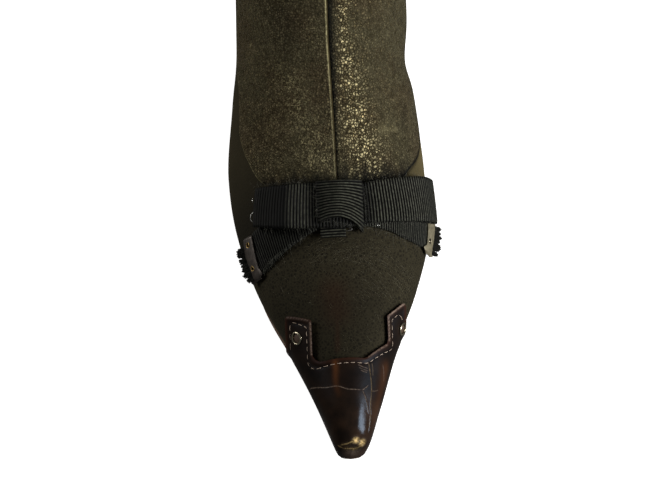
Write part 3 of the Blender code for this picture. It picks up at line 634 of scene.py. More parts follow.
def placed(station, way, stand):
    """A frame on the upper: its Z points outwards."""
    origin = Vector(upper_at(station, way, stand))
    turn = Vector(last_normal(station, way)).to_track_quat("Z", "Y")
    return Matrix.Translation(origin) @ turn.to_matrix().to_4x4()


def even_stations(first, last, count):
    """Stations spread so that the rows between them are about equally deep."""
    fine = np.linspace(first, last, 40 * count)
    run = sum(np.linalg.norm(np.diff(last_point(fine, way), axis=0), axis=1) for way in (-0.5, 0, 0.5))
    run = np.concatenate([[0.0], np.cumsum(run)])
    return np.interp(np.linspace(0, run[-1], count + 1), run, fine)


def sole_thickness(along):
    """The outsole thins from the ball to the heel seat."""
    share = ramp(np.asarray(along) / LENGTH, FLAT_TO, SEAT_FROM)
    return SOLE + (SOLE_AT_SEAT - SOLE) * share


def sole_outline(out, first=0.0, last=float(HEEL_BACK)):
    """The feather line moved outwards by a distance, between two stations: outer side, inner side."""
    stations = np.linspace(0, HEEL_BACK, HEEL_BACK * SOLE_STEPS + 1)
    sides = [last_point(stations, way)[:, :2] for way in (-1, 1)]
    loop = np.concatenate([sides[0], sides[1][::-1]])
    ahead, behind = np.roll(loop, -1, axis=0), np.roll(loop, 1, axis=0)
    joined = np.linalg.norm(loop - ahead, axis=1) < MERGE
    ahead[joined] = np.roll(loop, -2, axis=0)[joined]
    joined = np.linalg.norm(loop - behind, axis=1) < MERGE
    behind[joined] = np.roll(loop, 2, axis=0)[joined]
    run = ahead - behind
    run /= np.linalg.norm(run, axis=1, keepdims=True)
    loop = loop + out * np.stack([-run[:, 1], run[:, 0]], axis=1)
    count = len(stations)
    kept = (stations >= first - MERGE) & (stations <= last + MERGE)
    return loop[:count][kept], loop[count:][::-1][kept]


# Making meshes.
def add_piece(name, mesh, looks):
    """A mesh as a named object of the scene, shaded smooth, with its materials."""
    made = bpy.data.objects.new(name, mesh)
    bpy.context.scene.collection.objects.link(made)
    for look in looks:
        mesh.materials.append(look)
    mesh.shade_smooth()
    return made


def laid_grid(name, points, looks, ring=False, caps=False, flat=None, stamps=None):
    """A grid of faces laid at rows of points. A ring joins the end of each row to its start, caps
    close the first and last row, flat is the UV place of each corner in metres, and stamps are
    named values for each point, which the material reads."""
    rows, columns = points.shape[:2]
    bm = bmesh.new()
    bmesh.ops.create_grid(bm, x_segments=columns - 1, y_segments=rows - 1, size=0.5)
    places = np.array([v.co[:2] for v in bm.verts]) + 0.5
    column = np.rint(places[:, 0] * (columns - 1)).astype(int)
    row = np.rint(places[:, 1] * (rows - 1)).astype(int)
    mesh = bpy.data.meshes.new(name)
    bm.to_mesh(mesh)
    bm.free()
    mesh.vertices.foreach_set("co", points[row, column].astype(np.float32).ravel())
    if flat is not None:
        corner = np.empty(len(mesh.loops), np.int32)
        mesh.loops.foreach_get("vertex_index", corner)
        layer = mesh.uv_layers.new(name="flat")
        layer.data.foreach_set("uv", flat[row, column][corner].astype(np.float32).ravel())
    for label, values in (stamps or {}).items():
        kept = mesh.attributes.new(label, "FLOAT", "POINT")
        spread = np.broadcast_to(values, (rows, columns))
        kept.data.foreach_set("value", spread[row, column].astype(np.float32))
    bm = bmesh.new()
    bm.from_mesh(mesh)
    bmesh.ops.remove_doubles(bm, verts=bm.verts, dist=MERGE)
    bmesh.ops.dissolve_degenerate(bm, edges=bm.edges, dist=MERGE)
    if caps:
        bmesh.ops.edgeloop_fill(bm, edges=[e for e in bm.edges if e.is_boundary])
    if ring:
        bmesh.ops.recalc_face_normals(bm, faces=bm.faces)
    bm.to_mesh(mesh)
    bm.free()
    return add_piece(name, mesh, looks)


def strands(name, paths, radii, sides, looks):
    """Many thin round strands as one mesh. Each has a path of points and a radius at each of them."""
    points, faces = [], []
    turn = np.linspace(0, 2 * math.pi, sides, endpoint=False)
    for path, radius in zip(paths, radii):
        path = np.asarray(path, float)
        run = np.gradient(path, axis=0)
        run /= np.linalg.norm(run, axis=1, keepdims=True)
        aside = np.cross(run, STRAND_ASIDE)
        aside /= np.linalg.norm(aside, axis=1, keepdims=True)
        above = np.cross(run, aside)
        wide = np.broadcast_to(np.asarray(radius, float), len(path))[:, None, None]
        ring = path[:, None] + wide * (
            aside[:, None] * np.cos(turn)[None, :, None] + above[:, None] * np.sin(turn)[None, :, None]
        )
        first = sum(len(p) for p in points)
        points.append(ring.reshape(-1, 3))
        for i in range(len(path) - 1):
            for j in range(sides):
                k = (j + 1) % sides
                low, high = first + i * sides, first + (i + 1) * sides
                faces.append((low + j, low + k, high + k, high + j))
        last = first + (len(path) - 1) * sides
        faces.append(tuple(first + j for j in reversed(range(sides))))
        faces.append(tuple(last + j for j in range(sides)))
    mesh = bpy.data.meshes.new(name)
    mesh.from_pydata(np.concatenate(points).tolist(), [], faces)
    bm = bmesh.new()
    bm.from_mesh(mesh)
    bmesh.ops.recalc_face_normals(bm, faces=bm.faces)
    bm.to_mesh(mesh)
    bm.free()
    return add_piece(name, mesh, looks)


def thicken(piece, thickness, offset, inside=0):
    """Gives an open surface its thickness. Inside is how many slots on the inner side's material lies."""
    shell = piece.modifiers.new("thickness", "SOLIDIFY")
    shell.thickness = thickness
    shell.offset = offset
    shell.use_even_offset = False
    shell.use_quality_normals = True
    shell.material_offset = inside


def soften(piece, width, angle=40, segments=3):
    """Rounds the sharp edges of a piece."""
    bevel = piece.modifiers.new("soft_edges", "BEVEL")
    bevel.width = width
    bevel.segments = segments
    bevel.limit_method = "ANGLE"
    bevel.angle_limit = math.radians(angle)
    bevel.harden_normals = False


def settle(piece):
    """Applies the modifiers of a piece to its mesh."""
    graph = bpy.context.evaluated_depsgraph_get()
    finished = bpy.data.meshes.new_from_object(piece.evaluated_get(graph))
    piece.modifiers.clear()
    piece.data = finished
    return piece


def cut(piece, other, operation):
    """A Boolean of a piece with a form, which brings its own material to the faces it leaves."""
    boolean = piece.modifiers.new(other.name, "BOOLEAN")
    boolean.operation = operation
    boolean.solver = "EXACT"
    boolean.material_mode = "TRANSFER"
    boolean.object = other


def stamp(piece, name, values):
    """Keeps a value for each point of a piece, which its material can read."""
    kept = piece.data.attributes.new(name, "FLOAT", "POINT")
    kept.data.foreach_set("value", np.asarray(values, np.float32))


def points_of(piece):
    """The points of a piece's mesh."""
    found = np.empty(len(piece.data.vertices) * 3, np.float32)
    piece.data.vertices.foreach_get("co", found)
    return found.reshape(-1, 3).astype(float)


def to_path(points, path):
    """Distance of points to a path of straight runs, and the share of the path at the nearest place."""
    path = np.asarray(path, float)
    runs = np.linalg.norm(np.diff(path, axis=0), axis=1)
    done = run_along(path)
    nearest = np.full(points.shape[:-1], np.inf)
    share = np.zeros(points.shape[:-1])
    for i, run in enumerate(runs):
        ahead = (path[i + 1] - path[i]) / run
        reach = np.clip((points - path[i]) @ ahead, 0, run)
        gap = np.linalg.norm(points - path[i] - reach[..., None] * ahead, axis=-1)
        closer = gap < nearest
        nearest = np.where(closer, gap, nearest)
        share = np.where(closer, (done[i] + reach) / done[-1], share)
    return nearest, share


def trough(distance, share, depth, half_width, rim=0.35):
    """A soft crease that runs out at both ends, with a low ridge on each side."""
    ends = np.clip(np.minimum(share, 1 - share) / CREASE_RUN_OUT, 0, 1)
    raised = rim * fading(distance - CREASE_RIM_AT * half_width, half_width)
    deep = depth * (CREASE_END_DEPTH + (1 - CREASE_END_DEPTH) * ends)
    return deep * (raised - fading(distance, half_width))


def rolled(distance, radius):
    """Height share of an edge that rolls down within a radius."""
    inward = 1 - np.clip(distance / radius, 0, 1)
    return np.sqrt(np.clip(1 - inward**2, 0, 1))


# Materials.
def srgb(code):
    """A colour as the eye reads it, as #rrggbb, in linear light."""
    levels = [int(code[i:i + 2], 16) / 255 for i in (1, 3, 5)]
    linear = [v / 12.92 if v <= 0.04045 else ((v + 0.055) / 1.055) ** 2.4 for v in levels]
    return (*linear, 1.0)


# The output that is usually wanted of each kind of node. A Mix is one of colours and a
# Math node multiplies, unless they say otherwise.
USUAL_OUTPUT = {
    "Attribute": "Fac", "Bump": "Normal", "MapRange": "Result", "Mapping": "Vector", "Math": "Value",
    "Mix": 2, "SeparateXYZ": "X", "TexCoord": "Object", "TexNoise": "Fac", "TexVoronoi": "Distance",
    "TexWave": "Fac", "UVMap": "UV", "VectorMath": "Vector",
}
USUAL_SETTINGS = {"Mix": {"data_type": "RGBA"}, "Math": {"operation": "MULTIPLY"}}


def add_node(tree, kind, inputs=None, out=None, **settings):
    """Adds a node and gives one of its outputs. Settings are its own, and inputs are values or the
    outputs that feed its sockets."""
    made = tree.nodes.new("ShaderNode" + kind)
    for name, value in {**USUAL_SETTINGS.get(kind, {}), **settings}.items():
        setattr(made, name, value)
    for name, value in (inputs or {}).items():
        if isinstance(value, bpy.types.NodeSocket):
            tree.links.new(value, made.inputs[name])
        else:
            made.inputs[name].default_value = value
    return made.outputs[USUAL_OUTPUT[kind] if out is None else out]


def start_material(name, values):
    """A Principled material with its constant values set."""
    made = bpy.data.materials.new(name)
    made.use_nodes = True
    shader = made.node_tree.nodes["Principled BSDF"]
    for socket, value in values.items():
        shader.inputs[socket].default_value = value
    return made, made.node_tree, shader


# Factor, first and second colour of a Mix node. Pattern scales are repeats to a metre: 900 is about 1.1 mm.
MIX, FIRST, SECOND = 0, 6, 7


def shaft_leather():
    """Aged olive calf with a pebble grain: matt in the valleys, waxy on the pebbles, with painted gold glints,
    shade and highlights.
    """
    made, tree, shader = start_material("olive_grain_leather", {"Specular Tint": srgb("#FFE2A0")})
    place = add_node(tree, "TexCoord")
    labels = ("crack", "glint_strip", "edge", "shade")
    crack, glint_strip, edge, dark = (add_node(tree, "Attribute", attribute_name=label) for label in labels)
    wander = add_node(tree, "TexNoise", {"Vector": place, "Scale": 300.0, "Detail": 3.0}, out="Color")
    bent = add_node(tree, "Mix", {MIX: 0.0010, 4: place, 5: wander}, out=1, data_type="VECTOR")
    pebble = add_node(tree, "TexVoronoi", {"Vector": bent, "Scale": 900.0}, feature="DISTANCE_TO_EDGE")
    cell = add_node(tree, "TexVoronoi", {"Vector": bent, "Scale": 900.0}, out="Color")
    round_pebble = add_node(tree, "MapRange", {
        "Value": pebble, "From Min": 0.03, "From Max": 0.31,
    }, interpolation_type="SMOOTHSTEP")
    fine = add_node(tree, "TexNoise", {"Vector": place, "Scale": 3600.0, "Detail": 2.0})
    curl = add_node(tree, "TexNoise", {"Vector": place, "Scale": 700.0, "Detail": 1.0}, out="Color")
    tangled = add_node(tree, "Mix", {MIX: 0.0020, 4: place, 5: curl}, out=1, data_type="VECTOR")
    stretched = add_node(tree, "Mapping", {"Vector": tangled, "Scale": (1.0, 0.75, 0.75)})
    wrinkle = add_node(tree, "TexVoronoi", {"Vector": stretched, "Scale": 900.0}, feature="DISTANCE_TO_EDGE")
    skin = add_node(tree, "MapRange", {"Value": wrinkle, "From Max": 0.28}, interpolation_type="SMOOTHSTEP")
    crumple = add_node(tree, "TexNoise", {"Vector": place, "Scale": 240.0, "Detail": 5.0})
    mottle = add_node(tree, "TexNoise", {"Vector": place, "Scale": 150.0, "Detail": 8.0, "Roughness": 0.75})
    patchy = add_node(tree, "MapRange", {
        "Value": mottle, "From Min": 0.28, "From Max": 0.72,
    }, interpolation_type="SMOOTHSTEP")
    broad = add_node(tree, "TexNoise", {"Vector": place, "Scale": 46.0, "Detail": 3.0})
    browned = add_node(tree, "MapRange", {
        "Value": broad, "From Min": 0.42, "From Max": 0.62, "To Max": 0.55,
    }, interpolation_type="SMOOTHSTEP")
    olive = add_node(tree, "Mix", {MIX: patchy, FIRST: srgb("#3A3628"), SECOND: srgb("#504B39")})
    brown = add_node(tree, "Mix", {MIX: patchy, FIRST: srgb("#372D21"), SECOND: srgb("#4D4231")})
    ground = add_node(tree, "Mix", {MIX: browned, FIRST: olive, SECOND: brown})
    drawn = add_node(tree, "Mapping", {"Vector": place, "Scale": (1.0, 0.45, 0.45)})
    grit = add_node(tree, "TexNoise", {"Vector": drawn, "Scale": 1150.0, "Detail": 3.0})
    level = add_node(tree, "MapRange", {
        "Value": grit, "From Min": 0.3, "From Max": 0.7, "To Min": 0.55, "To Max": 1.6,
    })
    gritty = add_node(tree, "Mix", {MIX: 1.0, FIRST: ground, SECOND: level}, blend_type="MULTIPLY")
    lines = add_node(tree, "MapRange", {
        "Value": wrinkle, "From Max": 0.11, "To Min": 1.0, "To Max": 0.0,
    }, interpolation_type="SMOOTHSTEP")
    cluster = add_node(tree, "TexNoise", {"Vector": place, "Scale": 520.0, "Detail": 4.0})
    broken = add_node(tree, "MapRange", {"Value": cluster, "From Min": 0.40, "From Max": 0.52})
    spread = add_node(tree, "Math", {0: broken, 1: crack})
    crackle = add_node(tree, "Math", {0: lines, 1: spread})
    # Painted shade in the pebbles' valleys, deeper in the glint strip.
    valley = add_node(tree, "MapRange", {"Value": round_pebble, "To Min": 1.0, "To Max": 0.0})
    deep = add_node(tree, "MapRange", {"Value": glint_strip, "To Min": 0.50, "To Max": 0.75})
    painted_valley_shade = add_node(tree, "Math", {0: valley, 1: deep})
    proud = add_node(tree, "MapRange", {"Value": cell, "From Min": 0.42, "From Max": 0.76})
    tops = add_node(tree, "Math", {0: round_pebble, 1: proud})
    # Gold glints painted on the pebble tops in the glint strip.
    painted_glints = add_node(tree, "Math", {0: tops, 1: glint_strip})
    # Painted highlight along the fronts' folded edges, together with the pale scuffs, broken into beads.
    beads = add_node(tree, "MapRange", {
        "Value": cluster, "From Min": 0.38, "From Max": 0.58, "To Min": 0.45,
    })
    edge_highlight_and_scuffs = add_node(tree, "Math", {0: edge, 1: beads})
    colour = gritty
    for mask, code in (
        (crackle, "#AAA078"), (painted_valley_shade, "#211D12"), (painted_glints, "#C8BC90"), (edge_highlight_and_scuffs, "#B5AB80"), (dark, "#0D1114"),
    ):
        colour = add_node(tree, "Mix", {MIX: mask, FIRST: colour, SECOND: srgb(code)})
    tree.links.new(colour, shader.inputs["Base Color"])
    gloss = add_node(tree, "MapRange", {"Value": round_pebble, "To Min": 0.65, "To Max": 0.21})
    dulled = add_node(tree, "Math", {0: gloss, 1: dark}, operation="ADD", use_clamp=True)
    tree.links.new(dulled, shader.inputs["Roughness"])
    polish = add_node(tree, "MapRange", {"Value": glint_strip, "To Min": 0.32, "To Max": 1.0})
    clean = add_node(tree, "MapRange", {"Value": dark, "To Min": polish, "To Max": 0.0})
    shine = add_node(tree, "Math", {0: clean, 1: round_pebble})
    tree.links.new(shine, shader.inputs["Specular IOR Level"])
    bump = add_node(tree, "Bump", {"Height": crumple, "Strength": 0.4, "Distance": 0.0008})
    for height, strength, distance in (
        (round_pebble, 0.9, 0.00024), (skin, 0.8, 0.00018), (fine, 0.25, 0.00006),
    ):
        bump = add_node(tree, "Bump", {
            "Height": height, "Strength": strength, "Distance": distance, "Normal": bump,
        })
    lean = add_node(tree, "VectorMath", {0: cell, 1: (0.5, 0.5, 0.5)}, operation="SUBTRACT")
    tilted = add_node(tree, "VectorMath", {
        0: lean, 1: (0.19, 0.19, 0.19), 2: bump,
    }, operation="MULTIPLY_ADD")
    facets = add_node(tree, "VectorMath", {0: tilted}, operation="NORMALIZE")
    tree.links.new(facets, shader.inputs["Normal"])
    return made


def vamp_leather():
    """Dark brown calf with its grain worn to a short nap: matt, with a faint pale bloom at a slant."""
    made, tree, shader = start_material("napped_vamp_leather", {
        "Roughness": 0.78, "Specular IOR Level": 0.14, "Sheen Weight": 0.055, "Sheen Roughness": 0.45,
        "Sheen Tint": srgb("#D8CDB0"), "Specular Tint": srgb("#F2E8CC"),
    })
    place = add_node(tree, "TexCoord")
    labels = ("warm", "quarter", "shade")
    warm, quarter, dark = (add_node(tree, "Attribute", attribute_name=label) for label in labels)
    broad = add_node(tree, "TexNoise", {"Vector": place, "Scale": 80.0, "Detail": 6.0, "Roughness": 0.65})
    nap = add_node(tree, "TexNoise", {"Vector": place, "Scale": 1300.0, "Detail": 5.0, "Roughness": 0.75})
    wander = add_node(tree, "TexNoise", {"Vector": place, "Scale": 420.0, "Detail": 3.0}, out="Color")
    bent = add_node(tree, "Mix", {MIX: 0.0019, 4: place, 5: wander}, out=1, data_type="VECTOR")
    grain = add_node(tree, "TexVoronoi", {"Vector": bent, "Scale": 760.0}, feature="DISTANCE_TO_EDGE")
    pebble = add_node(tree, "MapRange", {
        "Value": grain, "From Min": 0.0, "From Max": 0.36,
    }, interpolation_type="SMOOTHSTEP")
    patchy = add_node(tree, "MapRange", {"Value": broad, "From Min": 0.35, "From Max": 0.65})
    speck = add_node(tree, "MapRange", {"Value": nap, "From Min": 0.28, "From Max": 0.72, "To Min": 0.4})
    ground = add_node(tree, "Mix", {MIX: patchy, FIRST: srgb("#0D0C08"), SECOND: srgb("#191610")})
    ridged = add_node(tree, "Mix", {MIX: pebble, FIRST: srgb("#332F22"), SECOND: ground})
    napped = add_node(tree, "Mix", {MIX: speck, FIRST: srgb("#100E09"), SECOND: ridged})
    reddened = add_node(tree, "Mix", {MIX: warm, FIRST: napped, SECOND: srgb("#331C12")})
    olive = add_node(tree, "Mix", {MIX: patchy, FIRST: srgb("#5A5136"), SECOND: srgb("#675C3F")})
    worn = add_node(tree, "Mix", {MIX: speck, FIRST: srgb("#2E2818"), SECOND: olive})
    leather = add_node(tree, "Mix", {MIX: quarter, FIRST: reddened, SECOND: worn})
    colour = add_node(tree, "Mix", {MIX: dark, FIRST: leather, SECOND: srgb("#070604")})
    tree.links.new(colour, shader.inputs["Base Color"])
    bump = add_node(tree, "Bump", {"Height": pebble, "Strength": 0.35, "Distance": 0.00015})
    bump = add_node(tree, "Bump", {"Height": nap, "Strength": 0.7, "Distance": 0.00025, "Normal": bump})
    tree.links.new(bump, shader.inputs["Normal"])
    return made


def cap_leather():
    """Dark brown calf pressed with large reptile scales and glazed: deep gloss, pale where creases wore, with
    painted highlights and brown reflections.
    """
    made, tree, shader = start_material("embossed_cap_leather", {"Specular Tint": srgb("#C4DEFA")})
    place = add_node(tree, "TexCoord")
    labels = ("dull", "warm", "rim", "gold", "worn")
    dull, warm, rim, gold, worn = (add_node(tree, "Attribute", attribute_name=label) for label in labels)
    broad, pores, flecks = (
        add_node(tree, "TexNoise", {"Vector": place, "Scale": scale, "Detail": detail})
        for scale, detail in ((110.0, 4.0), (1900.0, 3.0), (1100.0, 4.0))
    )
    patchy = add_node(tree, "MapRange", {"Value": broad, "From Min": 0.35, "From Max": 0.68})
    ground = add_node(tree, "Mix", {MIX: patchy, FIRST: srgb("#1A1410"), SECOND: srgb("#30231A")})
    # The cap is painted darker towards the back, where the glaze is dull.
    dull_darkening = add_node(tree, "Math", {0: dull, 1: 0.55})
    # Warm paints brown reflections on the cap's glaze.
    for mask, code in ((dull_darkening, "#070504"), (warm, "#52311A"), (rim, "#341E13")):
        ground = add_node(tree, "Mix", {MIX: mask, FIRST: ground, SECOND: srgb(code)})
    # The worn mark pales the creases with wear and painted highlight, and paints the gold highlights at the
    # tip and the highlights on the edge.
    wear_and_highlight_colour = add_node(tree, "Mix", {MIX: gold, FIRST: srgb("#B8A290"), SECOND: srgb("#FFDC98")})
    broken = add_node(tree, "MapRange", {
        "Value": flecks, "From Min": 0.36, "From Max": 0.60, "To Min": 0.35,
    })
    pale_wear_and_highlight = add_node(tree, "Math", {0: worn, 1: broken})
    colour = add_node(tree, "Mix", {MIX: pale_wear_and_highlight, FIRST: ground, SECOND: wear_and_highlight_colour})
    tree.links.new(colour, shader.inputs["Base Color"])
    gloss = add_node(tree, "MapRange", {"Value": dull, "To Min": 0.19, "To Max": 0.45})
    tree.links.new(gloss, shader.inputs["Roughness"])
    glaze = add_node(tree, "MapRange", {"Value": dull, "To Min": 0.12, "To Max": 0.08})
    tree.links.new(glaze, shader.inputs["Specular IOR Level"])
    bump = add_node(tree, "Bump", {"Height": broad, "Strength": 0.22, "Distance": 0.0010})
    bump = add_node(tree, "Bump", {"Height": pores, "Strength": 0.2, "Distance": 0.00008, "Normal": bump})
    tree.links.new(bump, shader.inputs["Normal"])
    return made


def two_tone(name, first, second, scale, values, bump_height=0.0001, bump_strength=0.4):
    """A material whose colour drifts between two tones, with a fine bump of the same grain."""
    made, tree, shader = start_material(name, values)
    place = add_node(tree, "TexCoord")
    grain = add_node(tree, "TexNoise", {"Vector": place, "Scale": scale, "Detail": 5.0, "Roughness": 0.65})
    spread = add_node(tree, "MapRange", {"Value": grain, "From Min": 0.33, "From Max": 0.67})
    colour = add_node(tree, "Mix", {MIX: spread, FIRST: srgb(first), SECOND: srgb(second)})
    tree.links.new(colour, shader.inputs["Base Color"])
    bump = add_node(tree, "Bump", {"Height": grain, "Strength": bump_strength, "Distance": bump_height})
    tree.links.new(bump, shader.inputs["Normal"])
    return made


def grosgrain():
    """Black ribbed ribbon: matt cotton and silk, with a painted highlight of dusty grey on top of the ribs."""
    made, tree, shader = start_material("black_grosgrain", {
        "Roughness": 0.60, "Specular IOR Level": 0.10, "Sheen Weight": 0.01, "Sheen Roughness": 0.45,
        "Sheen Tint": srgb("#B8BDA8"),
    })
    flat = add_node(tree, "UVMap", uv_map="flat")
    threads = add_node(tree, "TexWave", {
        "Vector": flat, "Scale": 640.0, "Distortion": 1.5, "Detail": 2.0,
    }, bands_direction="Y")
    place = add_node(tree, "TexCoord")
    rib_grey = add_node(tree, "TexNoise", {"Vector": place, "Scale": 760.0, "Detail": 5.0, "Roughness": 0.7})
    dusty = add_node(tree, "MapRange", {"Value": rib_grey, "From Min": 0.38, "From Max": 0.62, "To Min": 0.3})
    laid = add_node(tree, "Attribute", attribute_name="rib_grey")
    greyed = add_node(tree, "Math", {0: laid, 1: dusty})
    ground = add_node(tree, "Mix", {MIX: greyed, FIRST: srgb("#0B0C0A"), SECOND: srgb("#5A5B4F")})
    # The ribs' crests are painted grey as a highlight, broken by dust and as bright as rib_grey says.
    rib = add_node(tree, "Attribute", attribute_name="rib")
    crest_highlight = add_node(tree, "MapRange", {
        "Value": rib, "From Min": 0.70, "From Max": 1.0,
    }, interpolation_type="SMOOTHSTEP")
    colour = add_node(tree, "Mix", {MIX: crest_highlight, FIRST: srgb("#040404"), SECOND: ground})
    tree.links.new(colour, shader.inputs["Base Color"])
    bump = add_node(tree, "Bump", {"Height": threads, "Strength": 0.4, "Distance": 0.00008})
    tree.links.new(bump, shader.inputs["Normal"])
    return made


looks = {
    "shaft": shaft_leather(),
    "vamp": vamp_leather(),
    "cap": cap_leather(),
    "ribbon": grosgrain(),
    "raw_edge": two_tone("cut_leather_edge", "#1C120B", "#3A2517", 900.0, {"Roughness": 0.75}),
    "seat": two_tone("brown_calf_under_eyelet", "#33241A", "#4A3524", 900.0, {"Roughness": 0.7}),
    "lining": two_tone("calf_lining", "#5A4A34", "#6E5C42", 240.0, {"Roughness": 0.7}),
    "thread": two_tone("waxed_tan_thread", "#94806E", "#C6B2A0", 1600.0, {"Roughness": 0.6}),
    "fray": two_tone("frayed_black_silk", "#050505", "#1A1A16", 1500.0, {
        "Roughness": 0.85, "Specular IOR Level": 0.15,
    }),
    "frizz": two_tone("loose_ribbon_hair", "#3A3A33", "#6B6B60", 900.0, {"Roughness": 0.85}),
    "lint": two_tone("pale_lint", "#625E4F", "#8C8671", 1500.0, {"Roughness": 0.9}),
    "wire": two_tone("bright_steel_wire", "#B8B8B4", "#E6E6E2", 700.0, {"Roughness": 0.25, "Metallic": 1.0}),
    "eyelet": two_tone("nickel_plated_brass", "#8C8474", "#C9C0A8", 700.0, {
        "Roughness": 0.26, "Metallic": 1.0,
    }),
    "pin": two_tone("worn_brass_pin", "#9A7A48", "#D9B878", 900.0, {"Roughness": 0.35, "Metallic": 0.7}),
    # The two clips are one metal: the outer one painted darker as a shaded copy, the inner one paler as a lit
    # copy.
    "clip_outer": two_tone("shaded_clip_metal", "#3A3532", "#544D48", 600.0, {
        "Roughness": 0.36, "Metallic": 0.6,
    }),
    "clip_inner": two_tone("lit_clip_metal", "#686250", "#8E866E", 600.0, {
        "Roughness": 0.45, "Metallic": 0.3,
    }),
    "sole": two_tone("oak_bark_sole_leather", "#4A3320", "#5E4329", 320.0, {"Roughness": 0.62}),
    "insole": two_tone("insole_calf", "#7A6146", "#8D7356", 280.0, {"Roughness": 0.72}),
    "heel": two_tone("heel_cover_calf", "#2C2619", "#3C3524", 380.0, {"Roughness": 0.5}),
    "rubber": two_tone("black_heel_rubber", "#121212", "#1C1C1B", 700.0, {"Roughness": 0.85}),
}


# The upper.
def seam_reach(stations, side):
    """How far down the side a shaft front reaches at stations."""
    return between(SHAFT_SEAM, stations, SEAM_COLUMNS)[side]


def make_upper():
    """The upper's own shell: vamp and quarters outside, lining inside."""
    stations = even_stations(0, COLLAR, UPPER_ROWS)
    ways = np.linspace(-1, 1, UPPER_STRIPS + 1)
    t, w = np.meshgrid(stations, ways, indexing="ij")
    base = last_point(t, w)
    relief = np.zeros(t.shape)
    shade = np.zeros(t.shape)
    for side, sign in (("outer", -1), ("inner", 1)):
        rows = np.linspace(SHAFT_SEAM[0][0], SHAFT_SEAM[-1][0], SEAM_ROWS)
        line = last_point(rows, sign * (seam_reach(rows, side) + SEAM_BESIDE))
        gap, share = to_path(base, line)
        relief += trough(gap, np.full(share.shape, 0.5), SEAM_DEPTH, SEAM_HALF_WIDTH, 0.0)
        shade = np.maximum(shade, SEAM_SHADE * fading(gap, SEAM_SHADE_REACH))
    points = base + relief[..., None] * last_normal(t, w)
    warm = np.zeros(t.shape)
    for strength, reach, places in VAMP_WARM:
        places = np.array(places)
        gap, _ = to_path(base, last_point(places[:, 0], places[:, 1]))
        warm = np.maximum(warm, strength * fading(gap, reach))
    # Painted shade on the outer side and low on the vamp.
    outer_shade = OUTER_PAINTED_SHADE * np.clip(0.5 - base[..., 0] / OUTER_SHADE_FADE, 0, 1) * ramp(t, *OUTER_SHADE_STATIONS)
    toe_shade = TOE_PAINTED_SHADE * ramp(t, *TOE_SHADE_STATIONS) * ramp(w, *TOE_SHADE_WAYS)
    upper = laid_grid("upper_shell", points, [looks["vamp"], looks["lining"]], stamps={
        "quarter": ramp((base[..., 1] + MIDDLE_ALONG) / LENGTH, *QUARTER_ALONG),
        "shade": np.maximum(shade, np.maximum(outer_shade, toe_shade)),
        "warm": warm,
    })
    thicken(upper, WALL, -1, inside=1)
    return upper


